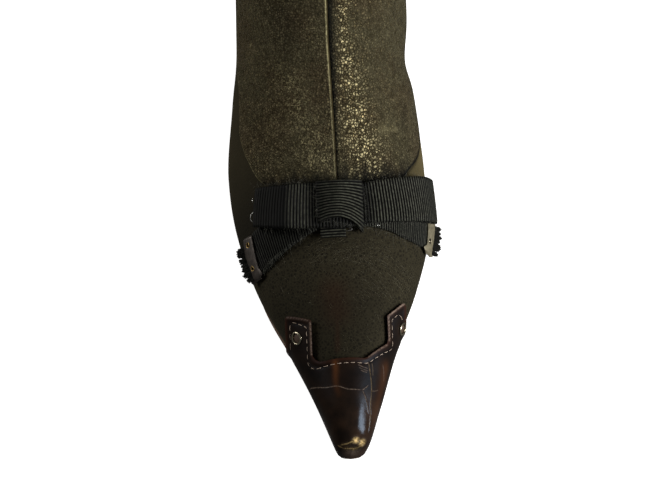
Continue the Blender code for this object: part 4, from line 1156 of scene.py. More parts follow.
def make_front(name, side, sign):
    """A shaft front: a raised panel with rolled edges. The outer one has a folded edge at the seam."""
    stations = even_stations(SHAFT_SEAM[0][0], SHAFT_SEAM[-1][0], PANEL_ROWS)
    edge = np.linspace(0, PANEL_EDGE_SHARE, PANEL_EDGE_STRIPS + 1)
    middle = np.linspace(PANEL_EDGE_SHARE, 1 - PANEL_EDGE_SHARE, PANEL_STRIPS + 1)[1:-1]
    share = np.concatenate([edge, middle, 1 - edge[::-1]])
    reach = seam_reach(stations, side)[:, None]
    ways = sign * (SEAM_GROOVE / 2 + (reach - SEAM_GROOVE / 2) * share[None, :])
    t = np.broadcast_to(stations[:, None], ways.shape)
    flat = last_point(t, ways)
    to_front = run_along(flat)
    to_side = to_front[:, -1:] - to_front
    along = run_along(flat[:, len(share) // 2])
    to_end = np.minimum(along, along[-1] - along)[:, None]
    height = rolled(to_front, FRONT_ROLL[side]) * rolled(to_side, SIDE_ROLL) * rolled(to_end, END_ROLL)
    stand = (PANEL + PANEL_SINK) * height - PANEL_SINK
    high = ramp(t, *SEAM_FADE)
    marks = {"shade": np.zeros(t.shape), "edge": np.zeros(t.shape)}

    def mark(kind, values):
        marks[kind] = np.maximum(marks[kind], values)

    if side == "outer":
        ridge, ridge_at, ridge_half_width = FOLD_RIDGE
        stand = stand + ridge * fading(to_front - ridge_at, ridge_half_width)
        # A painted highlight along the fold, brighter upwards.
        low, rise, highlight_at, highlight_reach = FOLD_HIGHLIGHT
        mark("edge", (low + rise * high) * fading(to_front - highlight_at, highlight_reach))
    else:
        strength, low, rise = FOLD_SHADE
        mark("shade", strength * fading(to_front, low + rise * high))
        strength, line_reach = SIDE_LINE
        mark("shade", strength * np.exp(-((to_side / line_reach) ** 4)))
    gaps = {"front": to_front, "side": to_side}
    for kind, beside, strength, place, line_reach in FRONT_LINES[side]:
        mark(kind, strength * fading(gaps[beside] - place, line_reach))
    tufts = np.ones(t.shape)
    for tuft, rate, start in HALO_TUFTS:
        tufts = tufts + tuft * np.sin(rate * ways + start)
    above_bow = np.clip(t - between(BOW_LOOPS, ways, LOOP_COLUMNS)["back"], 0, None) / tufts
    mark("shade", BOW_HALO_SHADE * fading(above_bow, BOW_HALO[side]))
    marks["crack"] = np.full(t.shape, CRACKS_ELSEWHERE)
    for strength, station, way, crack_reach in SHAFT_CRACKS:
        gap = np.linalg.norm(flat - last_point(station, way), axis=-1)
        mark("crack", strength * fading(gap, crack_reach))
    # The glint strip is where gold glints are painted and the gloss is raised.
    strip = between(GLINT_BAND, t, GLINT_BAND_COLUMNS)
    to_strip = np.linalg.norm(flat - last_point(t, strip["way"]), axis=-1)
    marks["glint_strip"] = fading(to_strip, strip["half_width"])
    for kind, strength, station, way, reach_along, reach_across in SHAFT_SCUFFS:
        gap = flat - last_point(station, way)
        up = last_point(station + STEP, way) - last_point(station - STEP, way)
        over = last_point(station, way + STEP) - last_point(station, way - STEP)
        along_gap = gap @ (up / np.linalg.norm(up)) / reach_along
        across_gap = gap @ (over / np.linalg.norm(over)) / reach_across
        mark(kind, strength * np.exp(-(along_gap**2) - across_gap**2))
    points = upper_at(t, ways, stand)
    if sign < 0:
        points = points[:, ::-1]
        marks = {label: values[:, ::-1] for label, values in marks.items()}
    panel = laid_grid(name, points, [looks["shaft"]], stamps=marks)
    thicken(panel, PANEL_BODY, -1)
    return panel


# The toe cap.
def rounded(corners, steps):
    """A closed outline with each corner rounded to its own radius."""
    outline = []
    count = len(corners)
    for i in range(count):
        here = Vector(corners[i][:2])
        radius = corners[i][2]
        before = (Vector(corners[i - 1][:2]) - here).normalized()
        after = (Vector(corners[(i + 1) % count][:2]) - here).normalized()
        if radius <= 0:
            outline.append(here)
            continue
        half = before.angle(after) / 2
        reach = radius / math.tan(half)
        middle = here + (before + after).normalized() * radius / math.sin(half)
        first, last = here + before * reach, here + after * reach
        for step in range(steps + 1):
            chord = first.lerp(last, step / steps) - middle
            outline.append(middle + chord.normalized() * radius)
    return outline


def surface_path(places, stand, steps=8):
    """A smooth path over the upper through stations and ways."""
    places = np.array(places)
    line = smooth(places, np.linspace(0, len(places) - 1, steps * (len(places) - 1) + 1))
    return upper_at(line[:, 0], line[:, 1], np.full(len(line), stand))


def refine(piece, lines):
    """Divides the faces near lines, so that fine creases have points enough."""
    bm = bmesh.new()
    bm.from_mesh(piece.data)
    middles = np.array([(e.verts[0].co + e.verts[1].co) / 2 for e in bm.edges])
    near = np.zeros(len(middles), bool)
    for line in lines:
        near |= to_path(middles, line)[0] < REFINE_REACH
    edges = [edge for edge, close in zip(bm.edges, near) if close]
    bmesh.ops.subdivide_edges(bm, edges=edges, cuts=REFINE_CUTS, use_grid_fill=True)
    bm.to_mesh(piece.data)
    bm.free()


def move_along_normals(piece, relief):
    """Presses or raises the points of a piece."""
    normals = np.empty(len(piece.data.vertices) * 3, np.float32)
    piece.data.vertex_normals.foreach_get("vector", normals)
    moved = points_of(piece) + relief[:, None] * normals.reshape(-1, 3)
    piece.data.vertices.foreach_set("co", moved.astype(np.float32).ravel())
    piece.data.update()


def form(name, bm, look):
    """A closed form of one material."""
    mesh = bpy.data.meshes.new(name)
    bm.to_mesh(mesh)
    bm.free()
    return add_piece(name, mesh, [look])


def bore(name, frame_at, radius, segments, look):
    """A round form that cuts a hole."""
    bm = bmesh.new()
    bmesh.ops.create_cone(
        bm, cap_ends=True, segments=segments, radius1=radius, radius2=radius, depth=BORE_DEPTH,
        matrix=frame_at,
    )
    return form(name, bm, look)


def to_cap_edge(points):
    """Distance of points from the cap's edge, seen from above."""
    outline = np.array([tuple(p) for p in rounded(CAP_EDGE, CORNER_STEPS)]) - (MIDDLE_SIDE, MIDDLE_ALONG)
    return to_path(points[:, :2], np.concatenate([outline, outline[:1]]))[0]


def make_cap():
    """The toe cap: a fine shell of the upper's own form, cut to its notched edge and bored."""
    stations = even_stations(0, CAP_LAST_STATION, CAP_ROWS)
    ways = np.linspace(-CAP_LOWEST, CAP_LOWEST, CAP_STRIPS + 1)
    top = upper_at(stations[:, None], ways[None, :], np.full((len(stations), len(ways)), CAP_STAND + CAP))
    cap = laid_grid("toe_cap_leather", top, [looks["cap"]])
    lines = [surface_path(places, CAP_STAND + CAP) for *_, places in CAP_CREASES]
    refine(cap, lines)
    points = points_of(cap)
    relief = np.zeros(len(points))
    for (_, _, depth, half_width, _), line in zip(CAP_CREASES, lines):
        gap, share = to_path(points, line)
        relief += trough(gap, share, depth, half_width)
    inset = to_cap_edge(points)
    relief += RIM_HEIGHT * fading(inset - RIM_AT, RIM_WIDE)
    relief -= STITCH_GROOVE * fading(inset - STITCH_INSET, STITCH_GROOVE_REACH)
    move_along_normals(cap, relief)
    thicken(cap, CAP, -1)
    bm = bmesh.new()
    outline = rounded(CAP_EDGE, CORNER_STEPS)
    corners = [bm.verts.new((p[0] - MIDDLE_SIDE, p[1] - MIDDLE_ALONG, CAP_CUT_LOW)) for p in outline]
    raised = bmesh.ops.extrude_face_region(bm, geom=[bm.faces.new(corners)])
    lifted = [v for v in raised["geom"] if isinstance(v, bmesh.types.BMVert)]
    bmesh.ops.translate(bm, verts=lifted, vec=(0, 0, CAP_CUT_HIGH - CAP_CUT_LOW))
    bmesh.ops.recalc_face_normals(bm, faces=bm.faces)
    forms = [form("cap_edge_form", bm, looks["raw_edge"])]
    cut(cap, forms[0], "INTERSECT")
    for name, station, way in EYELETS:
        at = placed(station, way, CAP_STAND + CAP)
        forms.append(bore(name + "_bore_form", at, EYELET_BORE, 32, looks["raw_edge"]))
        cut(cap, forms[-1], "DIFFERENCE")
    settle(cap)
    for used in forms:
        bpy.data.objects.remove(used)
    points = points_of(cap)
    # Worn holds the creases' wear and the painted highlights of the tip and edge; gold tints those of the tip.
    worn, gold = np.zeros(len(points)), np.zeros(len(points))
    for (paleness, golden, _, half_width, _), line in zip(CAP_CREASES, lines):
        gap, share = to_path(points, line)
        ends = np.clip(np.minimum(share, 1 - share) / CREASE_PALE_RUN_OUT, 0, 1)
        gold = np.where(gap < CREASE_GOLD_REACH, np.maximum(gold, golden), gold)
        worn = np.maximum(worn, paleness * ends * fading(gap, half_width))
    for paleness, golden, reach, station, way in CAP_PATCHES:
        gap = np.linalg.norm(points - upper_at(station, way, CAP_STAND + CAP), axis=1)
        gold = np.where(gap < PATCH_GOLD_REACH * reach, np.maximum(gold, golden), gold)
        worn = np.maximum(worn, paleness * fading(gap, reach))
    seen = points[:, :2] + (MIDDLE_SIDE, MIDDLE_ALONG)
    for paleness, *ends in CAP_EDGE_HIGHLIGHTS:
        gap, _ = to_path(seen, ends)
        worn = np.maximum(worn, paleness * fading(gap, CAP_EDGE_HIGHLIGHT_REACH))
    stamp(cap, "worn", worn)
    stamp(cap, "gold", gold)
    strength, place, reach = CAP_RIM_TINT
    stamp(cap, "rim", strength * fading(to_cap_edge(points) - place, reach))
    # Brown reflections, painted as a warm tint that fades along each path.
    warm = np.zeros(len(points))
    for strength, reach, places in CAP_BROWN_REFLECTIONS:
        gap, share = to_path(points, surface_path(places, CAP_STAND + CAP))
        warm = np.maximum(warm, strength * (1 - share) ** REFLECTION_FADE * fading(gap, reach))
    stamp(cap, "warm", warm)
    dull_from, dull_to = (last_point(station, 0)[1] for station in (CAP_DULL_FROM, CAP_DULL_TO))
    stamp(cap, "dull", ramp(points[:, 1], dull_from, dull_to))
    return cap


def surface_under(points, tree):
    """Points seen from above set on a surface, with the surface's direction there."""
    found = []
    for side, along in points:
        above = Vector((side - MIDDLE_SIDE, along - MIDDLE_ALONG, SHAFT_HEIGHT))
        spot, normal, _, _ = tree.ray_cast(above, Vector((0, 0, -1)))
        if spot is not None:
            found.append((spot, normal))
    return found


def make_cap_stitches():
    """Tan stitches inside the cap's edge, each a short capsule sunk at both ends."""
    stations = even_stations(0, CAP_LAST_STATION, STITCH_ROWS)
    ways = np.linspace(-CAP_LOWEST, CAP_LOWEST, STITCH_COLUMNS + 1)
    stand = np.full((STITCH_ROWS + 1, STITCH_COLUMNS + 1), CAP_STAND + CAP)
    top = upper_at(stations[:, None], ways[None, :], stand)
    faces = []
    for i in range(STITCH_ROWS):
        for j in range(STITCH_COLUMNS):
            low, high = i * (STITCH_COLUMNS + 1) + j, (i + 1) * (STITCH_COLUMNS + 1) + j
            faces.append((low, low + 1, high + 1, high))
    tree = BVHTree.FromPolygons([Vector(p) for p in top.reshape(-1, 3)], faces)
    inset = []
    for (side, along, radius), (way_side, way_along) in zip(CAP_EDGE, CAP_STITCH_TURN):
        corner = max(radius, STITCH_CORNER)
        inset.append((side + way_side * STITCH_INSET, along + way_along * STITCH_INSET, corner))
    path = np.array([tuple(p) for p in rounded(inset, CORNER_STEPS)])
    runs = run_along(path)
    paths, radii = [], []
    profile, sink, width = np.array(STITCH_PROFILE).T
    for start in np.arange(STITCH_START, runs[-1] - STITCH_LENGTH, STITCH_PITCH):
        at = start + STITCH_LENGTH * (profile + 0.5)
        places = np.column_stack([np.interp(at, runs, path[:, 0]), np.interp(at, runs, path[:, 1])])
        found = surface_under(places, tree)
        if len(found) < len(profile) or places[:, 1].min() < STITCH_FIRST:
            continue
        lifts = sink * STITCH_RADIUS
        paths.append([np.array(spot) + np.array(normal) * up for (spot, normal), up in zip(found, lifts)])
        radii.append(width * STITCH_RADIUS)
    return strands("cap_stitches", paths, radii, 8, [looks["thread"]])


def turned(name, at, profile, steps, look):
    """A ring turned about its own axis from a closed profile of radii and heights."""
    bm = bmesh.new()
    ring = [bm.verts.new((radius, 0, height)) for radius, height in profile]
    edges = [bm.edges.new((ring[i], ring[(i + 1) % len(ring)])) for i in range(len(ring))]
    bmesh.ops.spin(
        bm, geom=ring + edges, cent=(0, 0, 0), axis=(0, 0, 1), angle=2 * math.pi, steps=steps, use_merge=True,
    )
    bmesh.ops.recalc_face_normals(bm, faces=bm.faces)
    bmesh.ops.transform(bm, matrix=at, verts=bm.verts)
    return form(name, bm, look)


def make_eyelet(name, station, way):
    """A turned eyelet with a rolled rim, and the leather pressed up into it from below."""
    at = placed(station, way, CAP_STAND + CAP + GAP / 2)
    ring = turned(name + "_ring", at, EYELET_TURN, 48, looks["eyelet"])
    bm = bmesh.new()
    bmesh.ops.create_uvsphere(bm, u_segments=32, v_segments=16, radius=EYELET_TURN[0][0])
    flat = Matrix.Diagonal((1, 1, EYELET_PLUG / EYELET_TURN[0][0], 1))
    bmesh.ops.transform(bm, matrix=at @ Matrix.Translation((0, 0, -EYELET_PLUG)) @ flat, verts=bm.verts)
    return ring, form(name + "_seat", bm, looks["seat"])


def ribbon_piece(name, middle, place, rib_grey, ring, slant, pitch):
    """A ribbed ribbon. Middle is its fine middle line, place gives the points of its columns, and rib_grey
    how bright the painted light on its ribs is there."""
    runs = run_along(middle)
    ribs = int(round(runs[-1] / pitch))
    run = np.linspace(0, runs[-1], ribs * RIB_STEPS + 1)
    index = np.interp(run, runs, np.arange(len(runs)))
    share = np.linspace(0, 1, RIBBON_STRIPS + 1)
    phase = run / runs[-1] * ribs + slant * (share[:, None] - 0.5)
    rib = (0.5 - 0.5 * np.cos(2 * math.pi * phase)) ** RIB_SHARPNESS
    selvedge = np.minimum(share, 1 - share)[:, None] < 0.5 / RIBBON_STRIPS
    lift = RIB_HEIGHT_SHARE * pitch * (rib - 0.5) * np.where(selvedge, 0.5, 1.0)
    points = place(index, share[:, None], lift)
    width = np.linalg.norm(points[-1] - points[0], axis=1).mean()
    flat = np.stack(np.broadcast_arrays(run[None, :], share[:, None] * width), axis=-1)
    made = laid_grid(name, points, [looks["ribbon"]], ring=ring, flat=flat, stamps={
        "rib": rib, "rib_grey": rib_grey(index, share[:, None]),
    })
    thicken(made, RIBBON_BODY, 0)
    return made


def fine_table(rows, columns, steps=12):
    """Columns of a table read smoothly, with steps between its rows."""
    return dict(zip(columns, smooth(rows, np.linspace(0, len(rows) - 1, steps * (len(rows) - 1) + 1)).T))


def read_at(values, index):
    """Values read between their places."""
    return np.interp(index, np.arange(len(values)), values)


def make_loops():
    """The ribbon laid round in one flattened ring of two loops."""
    read = fine_table(BOW_LOOPS, LOOP_COLUMNS)
    way, front, back = (np.concatenate([read[c], read[c][-2::-1]]) for c in ("way", "front", "back"))
    stand = np.concatenate([read["low"], read["high"][-2::-1]])

    def place(index, share, lift):
        low, high = read_at(front, index)[None, :], read_at(back, index)[None, :]
        out = np.where(index < (len(way) - 1) / 2, -1.0, 1.0)[None, :]
        across = read_at(way, index)[None, :]
        lean = np.where(across > 0, LOOP_LEAN_INNER, LOOP_LEAN_OUTER)
        lean = lean * np.clip(np.abs(across) / LOOP_LEAN_FULL, 0, 1)
        lift = lift * np.interp(across, *zip(*LOOP_RELIEF))
        return upper_at(low + (high - low) * share, across + lean * (share - 0.5),
                        read_at(stand, index)[None, :] + out * lift)

    def rib_grey(index, share):
        return np.interp(read_at(way, index), *zip(*LOOP_RIB_LIGHT))[None, :]

    middle = upper_at((front + back) / 2, way, stand)
    return ribbon_piece("bow_loops_ribbon", middle, place, rib_grey, True, 0.0, LOOP_RIB_PITCH)


def make_knot():
    """The band wound round the middle of the bow. Its lower edge is drawn up in an arch."""
    length = np.linalg.norm(last_point(KNOT_BACK, 0) - last_point(KNOT_FRONT, 0))
    corner = KNOT_CORNER * ((KNOT_BACK - KNOT_FRONT) / length)
    path = []
    for station, stand, start in (
        (KNOT_BACK, KNOT_LOW, 270), (KNOT_BACK, KNOT_HIGH, 0),
        (KNOT_FRONT, KNOT_HIGH, 90), (KNOT_FRONT, KNOT_LOW, 180),
    ):
        for angle in np.radians(np.linspace(start, start + 90, 9)):
            inward_along = -1 if station == KNOT_BACK else 1
            inward_up = 1 if stand == KNOT_LOW else -1
            path.append((
                station + corner * (inward_along + math.cos(angle)),
                stand + KNOT_CORNER * (inward_up + math.sin(angle)),
            ))
    path = np.array(path + path[:1])
    middle = upper_at(path[:, 0], np.full(len(path), sum(KNOT_WAYS) / 2), path[:, 1])

    def place(index, share, lift):
        station, stand = read_at(path[:, 0], index)[None, :], read_at(path[:, 1], index)[None, :]
        ways = KNOT_WAYS[0] + (KNOT_WAYS[1] - KNOT_WAYS[0]) * share
        arch = between(KNOT_ARCH, share, ARCH_COLUMNS)
        drawn = (KNOT_BACK - station) / (KNOT_BACK - KNOT_FRONT)
        station = KNOT_BACK - (KNOT_BACK - arch["front"]) * drawn
        out = np.where(stand > (KNOT_LOW + KNOT_HIGH) / 2, 1.0, -1.0)
        raised = np.clip(stand - KNOT_LOW, 0, None)
        bulge = KNOT_BULGE * np.sin(math.pi * share) * raised / (KNOT_HIGH - KNOT_LOW)
        return upper_at(station, ways + 0 * station, stand + bulge + out * lift)

    def rib_grey(index, share):
        return np.interp(share, *zip(*KNOT_RIB_LIGHT))

    return ribbon_piece("bow_knot_ribbon", middle, place, rib_grey, True, 0.0, KNOT_RIB_PITCH)


def make_knot_end():
    """The band's own end, tucked under the bow below the arch."""
    fronts = np.linspace(*KNOT_END_STATIONS, 20)
    stand = np.linspace(*KNOT_END_STAND, 20)
    middle = upper_at(fronts, np.full(20, sum(KNOT_END_WAYS) / 2), stand)

    def place(index, share, lift):
        ways = KNOT_END_WAYS[1] + (KNOT_END_WAYS[0] - KNOT_END_WAYS[1]) * share
        station = read_at(fronts, index)[None, :] + 0 * ways
        return upper_at(station, ways + 0 * station, read_at(stand, index)[None, :] + lift)

    def rib_grey(index, share):
        return np.full(share.shape, KNOT_END_RIB_LIGHT)

    return ribbon_piece("bow_knot_end", middle, place, rib_grey, False, 0.0, KNOT_END_RIB_PITCH)


def make_tail(name, rows):
    """A ribbon end that lies on the vamp."""
    read = fine_table(rows, TAIL_COLUMNS)

    def place(index, share, lift):
        low, high = read_at(read["front"], index)[None, :], read_at(read["back"], index)[None, :]
        if rows[-1][0] < 0:
            share = 1 - share
        return upper_at(low + (high - low) * share, read_at(read["way"], index)[None, :] + 0 * share,
                        read_at(read["stand"], index)[None, :] + lift)

    def rib_grey(index, share):
        return np.full(share.shape, TAIL_RIB_LIGHT[name])

    middle = upper_at((read["front"] + read["back"]) / 2, read["way"], read["stand"])
    return ribbon_piece(name + "_ribbon", middle, place, rib_grey, False, TAIL_RIB_SLANT, TAIL_RIB_PITCH)


def make_fray(name, rows, seed):
    """The cut end of a ribbon: a dense black brush of threads, drawn out in small clumps."""
    chance = np.random.default_rng(seed)
    way, front, back, stand = rows[-1]
    sign = math.copysign(1, way)
    paths, radii = [], []
    steps = np.linspace(0, 1, len(FRAY_TAPER))
    tips = (np.arange(FRAY_CLUMPS) + chance.uniform(*FRAY_CLUMP_PLACE, FRAY_CLUMPS)) / FRAY_CLUMPS
    swell = chance.uniform(*FRAY_CLUMP_SWELL, FRAY_CLUMPS)
    short, longer = FRAY_LENGTHS
    for thread in range(FRAY_THREADS):
        share = (thread + chance.uniform(0, 1)) / FRAY_THREADS
        nearest = np.argmin(np.abs(tips - share))
        gap = abs(tips[nearest] - share) * FRAY_CLUMPS
        clump = math.sqrt(max(0.0, 1 - (FRAY_CLUMP_ROUND * gap) ** 2))
        length = FRAY_REACH * (short + longer * swell[nearest] * clump) * chance.uniform(*FRAY_RAGGED)
        end = share + FRAY_GATHER * (tips[nearest] - share) + chance.normal(0, FRAY_STRAY) - FRAY_DROOP
        stations = front + (back - front) * (share + (end - share) * steps)
        ways = way - sign * FRAY_ROOT + sign * FRAY_DRAWN * steps
        base = upper_at(stations, ways, stand + FRAY_DEEP * chance.uniform(*FRAY_LAYERS) + 0 * steps)
        out = last_normal(stations, ways) * FRAY_RISE + np.array([sign * FRAY_AIM[0], *FRAY_AIM[1:]])
        curl = FRAY_CURL * np.sin(5 * steps[:, None] + chance.uniform(0, 6, 3))
        paths.append(base + out * (length * steps)[:, None] + curl * steps[:, None])
        radii.append(np.array(FRAY_TAPER) * chance.uniform(*FRAY_RADII))
    return strands(name + "_fray", paths, radii, 5, [looks["fray"]])


def make_clip(name, tail, sign, lift, holes, edges):
    """A metal strip bent over both edges of a ribbon end, flared at its lower end, with its pinholes."""
    edges = table(CLIP_COLUMNS, edges)
    middle = sign * (edges["inside"] + edges["outside"]).mean() / 2
    read = between(BOW_TAILS[tail], middle, TAIL_COLUMNS)
    front, back, foot = float(read["front"]), float(read["back"]), float(read["stand"])
    flat = np.linspace(front - CLIP_OVERHANG / 2, back + CLIP_OVERHANG / 2, CLIP_ROWS)
    path = np.array([
        (front - CLIP_OVERHANG, foot),
        (front - CLIP_OVERHANG, CLIP_STAND - CLIP),
        *((station, CLIP_STAND) for station in flat),
        (back + CLIP_OVERHANG, CLIP_STAND - CLIP),
        (back + CLIP_OVERHANG, foot),
    ])
    along = (path[:, 0] - path[0, 0]) / np.ptp(path[:, 0])
    inside = sign * np.interp(along, edges["share"], edges["inside"])
    outside = sign * np.interp(along, edges["share"], edges["outside"])
    first, last = (inside, outside) if sign > 0 else (outside, inside)
    across = np.linspace(0, 1, 7)[None, :]
    ways = first[:, None] + (last - first)[:, None] * across
    raised = lift * (across if sign > 0 else 1 - across)
    points = upper_at(path[:, :1] + 0 * ways, ways, path[:, 1:] + raised)
    clip = laid_grid(name + "_strip", points, [looks[name]])
    thicken(clip, CLIP, 0)
    forms, pins = [], []
    for number, (station, aside) in enumerate(holes):
        share = (station - path[0, 0]) / np.ptp(path[:, 0])
        way = np.interp(share, along, inside + (outside - inside) * aside)
        at = placed(station, way, CLIP_STAND + lift * aside)
        rim = looks["pin" if sign < 0 else "eyelet"]
        forms.append(bore(f"{name}_hole_{number}", at, CLIP_HOLE, CLIP_HOLE_STEPS, looks[name]))
        pins.append(turned(f"{name}_pin_{number}", at, CLIP_PIN_TURN, CLIP_HOLE_STEPS, rim))
        cut(clip, forms[-1], "DIFFERENCE")
    settle(clip)
    for used in forms:
        bpy.data.objects.remove(used)
    soften(clip, CLIP_EDGE, angle=35, segments=2)
    return [clip, *pins]


# Soles and heel.
def make_outsole():
    """The outsole as one tube of sections, with its edge rounded off above and below."""
    edges = [sole_outline(out * SOLE_EDGE) for out, _ in SOLE_ROUND]
    depths = [depth for _, depth in SOLE_ROUND]
    across = np.linspace(0, 1, 11)[1:-1]
    columns = []
    for share in across:
        columns.append((edges[0][0] + (edges[0][1] - edges[0][0]) * share, depths[0]))
    columns += [(inner, depth) for (_, inner), depth in zip(edges, depths)]
    for share in across:
        columns.append((edges[-1][1] + (edges[-1][0] - edges[-1][1]) * share, depths[-1]))
    columns += [(outer, depth) for (outer, _), depth in reversed(list(zip(edges, depths)))]
    columns.append(columns[0])
    rows = []
    for points, depth in columns:
        along = points[:, 1] + MIDDLE_ALONG
        rows.append(np.column_stack([points, sole_line(along) - depth * sole_thickness(along)]))
    return laid_grid("outsole_leather", np.array(rows), [looks["sole"]], ring=True)


def make_insole():
    """The sock that shows down the shaft, over the insole board."""
    outer, inner = sole_outline(-(WALL + 2 * GAP), *INSOLE_STATIONS)
    share = np.linspace(0, 1, 25)[None, :, None]
    flat = outer[:, None] + (inner - outer)[:, None] * share
    height = sole_line(flat[..., 1] + MIDDLE_ALONG) + INSOLE_LIFT + INSOLE
    insole = laid_grid("insole_sock", np.concatenate([flat, height[..., None]], axis=-1), [looks["insole"]])
    thicken(insole, INSOLE, -1)
    return insole


def make_heel():
    """The covered heel and the rubber piece it stands on."""
    outer, inner = sole_outline(-HEEL_INSET, BREAST_STATION)
    seat = np.concatenate([outer, inner[::-1], outer[:1]])
    share = (seat[:, 1] - seat[:, 1].min()) / np.ptp(seat[:, 1])
    middle = (seat[:, 0].min() + seat[:, 0].max()) / 2
    heel = fine_table(HEEL_SECTIONS, HEEL_COLUMNS, 8)
    drawn = np.outer(heel["breast"], 1 - share) - np.outer(heel["back"], share)
    along = seat[:, 1] + MIDDLE_ALONG + drawn * LENGTH
    side = middle + np.outer(heel["width"], seat[:, 0] - middle)
    top = sole_line(along[0]) - sole_thickness(along[0]) - GAP / 2
    height = top + np.outer(heel["level"], TOP_PIECE + GAP / 2 - top)
    rings = np.stack([side, along - MIDDLE_ALONG, height], axis=-1)
    block = laid_grid("heel_cover", rings, [looks["heel"]], ring=True, caps=True)
    soften(block, HEEL_EDGE)
    tread = np.stack([rings[-1], rings[-1]])
    tread[:, :, 2] = [[TOP_PIECE - GAP / 2], [0.0]]
    rubber = laid_grid("heel_tread_piece", tread, [looks["rubber"]], ring=True, caps=True)
    soften(rubber, TREAD_EDGE)
    return block, rubber


def make_lint():
    """Fine pale hairs lying on the vamp."""
    chance = np.random.default_rng(LINT_SEED)
    paths, radii = [], []
    steps = np.linspace(-0.5, 0.5, 7)
    for low, high, left, right, count, slope, longest in LINT_PATCHES:
        for _ in range(count):
            station, way = chance.uniform(low, high), chance.uniform(left, right)
            heading = math.radians(chance.normal(slope, LINT_SWERVE + LINT_SHORT_SWERVE / longest))
            length = LINT_SHORTEST + longest * chance.uniform(0, 1) ** 2
            bend = chance.normal(0, LINT_BEND)
            turn = heading + bend * steps
            ways = way + length * steps * np.cos(turn) * VAMP_WAYS_PER_METRE
            stations = station + length * steps * np.sin(turn) * VAMP_STATIONS_PER_METRE
            paths.append(upper_at(stations, ways, LINT_STAND + LINT_STAND * np.sin(5 * steps + bend)))
            radii.append(np.full(7, chance.uniform(*LINT_RADII)))
    return strands("vamp_lint", paths, radii, 4, [looks["lint"]])


def make_tacks():
    """Short bright wires along the ribbon's edges."""
    paths, radii = [], []
    steps = np.linspace(0, 1, 9)
    for radius, stand, first, last, first_way, last_way, bow in TACKS:
        ways = first_way + (last_way - first_way) * steps + bow * 4 * steps * (1 - steps)
        paths.append(upper_at(first + (last - first) * steps, ways, stand + 0 * steps))
        radii.append(radius * (TACK_END + (1 - TACK_END) * np.sin(math.pi * steps)))
    return strands("ribbon_tacks", paths, radii, 8, [looks["wire"]])


def make_frizz():
    """Short hairs worked loose along the ribbon's edges."""
    chance = np.random.default_rng(FRIZZ_SEED)
    paths, radii = [], []
    steps = np.linspace(0, 1, 5)
    for count, first, last, (ahead, aside) in FRIZZ_EDGES:
        for share in chance.uniform(0, 1, count):
            station, way, stand = np.array(first) + (np.array(last) - np.array(first)) * share
            length = FRIZZ_LENGTH * chance.uniform(*FRIZZ_LENGTHS)
            along = ahead + chance.normal(0, FRIZZ_STRAY)
            across = aside + chance.normal(0, FRIZZ_STRAY)
            curl = chance.normal(0, FRIZZ_CURL) * steps**2
            stations = station + STATIONS_PER_METRE * length * (along * steps + curl)
            ways = way + WAYS_PER_METRE * length * (across * steps - curl)
            paths.append(upper_at(stations, ways, stand + chance.uniform(*FRIZZ_RISE) * length * steps))
            radii.append(np.full(5, FRIZZ_RADIUS * chance.uniform(*FRIZZ_WIDTHS)))
    return strands("ribbon_frizz", paths, radii, 4, [looks["frizz"]])


# Every piece rides on the boot's one body and takes the place of its solid.
def dress(piece, slot, *nodes):
    """Ties a piece to the boot and to the solids it stands for. Its slot is not used."""
    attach(piece, "root")
    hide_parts(*nodes)


dress(make_upper(), "upper_leather", "upper")
dress(make_front("shaft_front_outer", "outer", -1), "upper_leather", "upper")
dress(make_front("shaft_front_inner", "inner", 1), "upper_leather", "upper")
dress(make_lint(), "upper_leather", "upper")
dress(make_cap(), "cap_leather", "toe_cap")
dress(make_cap_stitches(), "cap_leather", "toe_cap")
for eyelet, station, way in EYELETS:
    ring, seat = make_eyelet(eyelet, station, way)
    dress(ring, "eyelet_metal", eyelet)
    dress(seat, "cap_leather", "toe_cap")
loops, knot, knot_end = make_loops(), make_knot(), make_knot_end()
dress(loops, "ribbon", "bow_loops")
dress(knot, "ribbon", "bow_knot")
dress(knot_end, "ribbon", "bow_knot")
dress(make_tacks(), "clip_metal", "bow_loops")
dress(make_frizz(), "ribbon", "bow_loops")
for number, (tail, rows) in enumerate(BOW_TAILS.items()):
    ribbon_end, fray = make_tail(tail, rows), make_fray(tail, rows, FRAY_SEED + number)
    dress(ribbon_end, "ribbon", tail)
    dress(fray, "ribbon", tail)
for clip in CLIPS:
    for piece in make_clip(*clip):
        dress(piece, "clip_metal", clip[0])
dress(make_outsole(), "sole_leather", "outsole")
dress(make_insole(), "insole_leather", "insole")
heel_block, heel_rubber = make_heel()
dress(heel_block, "heel_cover", "heel")
dress(heel_rubber, "top_piece_rubber", "heel_top_piece")


# Floor, light and camera.
FLOOR_REACH = 12.0
SENSOR = 36.0
scene = bpy.context.scene
scene.view_settings.view_transform = "Standard"
scene.view_settings.look = "None"

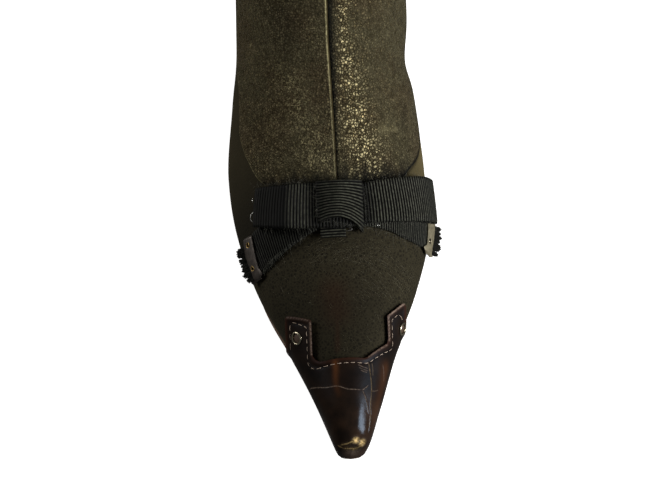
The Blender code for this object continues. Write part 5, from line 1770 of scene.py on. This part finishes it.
bm = bmesh.new()
bmesh.ops.create_grid(bm, x_segments=1, y_segments=1, size=FLOOR_REACH)
floor_mesh = bpy.data.meshes.new("studio_floor")
bm.to_mesh(floor_mesh)
bm.free()
paper = two_tone("lit_paper", "#F0F0EE", "#F4F4F2", 30.0, {
    "Roughness": 0.9, "Emission Color": srgb("#FFFFFF"), "Emission Strength": 0.85,
}, 0.0, 0.0)
floor = add_piece("studio_floor", floor_mesh, [paper])
# The lit paper is seen, but its glare is kept off the boot.
floor.visible_glossy = False
floor.visible_diffuse = False

AIM = Vector((-0.0001, -0.0628, 0.040))
ELEVATION, AZIMUTH, DISTANCE, LENS = 60, -2.5, 0.8, 102.8


def direction(azimuth, elevation):
    """A direction from the boot, round from the front and up from the floor, in degrees."""
    a, e = math.radians(azimuth), math.radians(elevation)
    return Vector((math.sin(a) * math.cos(e), -math.cos(a) * math.cos(e), math.sin(e)))


camera_data = bpy.data.cameras.new("camera")
camera_data.lens = LENS
camera_data.sensor_width = SENSOR
camera = bpy.data.objects.new("camera", camera_data)
scene.collection.objects.link(camera)
camera.location = AIM + direction(AZIMUTH, ELEVATION) * DISTANCE
camera.rotation_euler = direction(AZIMUTH, ELEVATION).to_track_quat("Z", "Y").to_euler()
scene.camera = camera

# Soft lamps: azimuth, elevation, distance, width, height, power and colour.
LAMPS = (
    ("strip", 66, 24, 1.0, 0.24, 0.62, 14.0, "#FFFFFF"),
    ("fill", -110, 18, 1.0, 0.35, 0.45, 5.5, "#FFFDF8"),
)
for name, azimuth, elevation, distance, width, height, power, colour in LAMPS:
    lamp = bpy.data.lights.new(name, "AREA")
    lamp.shape = "RECTANGLE"
    lamp.size = width
    lamp.size_y = height
    lamp.energy = power
    lamp.color = srgb(colour)[:3]
    made = bpy.data.objects.new(name, lamp)
    scene.collection.objects.link(made)
    made.location = AIM + direction(azimuth, elevation) * distance
    made.rotation_euler = direction(azimuth, elevation).to_track_quat("Z", "Y").to_euler()

# The room is darker on the boot's outer side.
world = bpy.data.worlds.new("studio")
world.use_nodes = True
tree = world.node_tree
aim = add_node(tree, "TexCoord", out="Generated")
across = add_node(tree, "SeparateXYZ", {"Vector": aim})
room = add_node(tree, "MapRange", {"Value": across, "From Min": -1.0, "To Min": 0.05, "To Max": 0.15})
background = tree.nodes["Background"]
background.inputs["Color"].default_value = srgb("#FFFDF8")
tree.links.new(room, background.inputs["Strength"])
scene.world = world
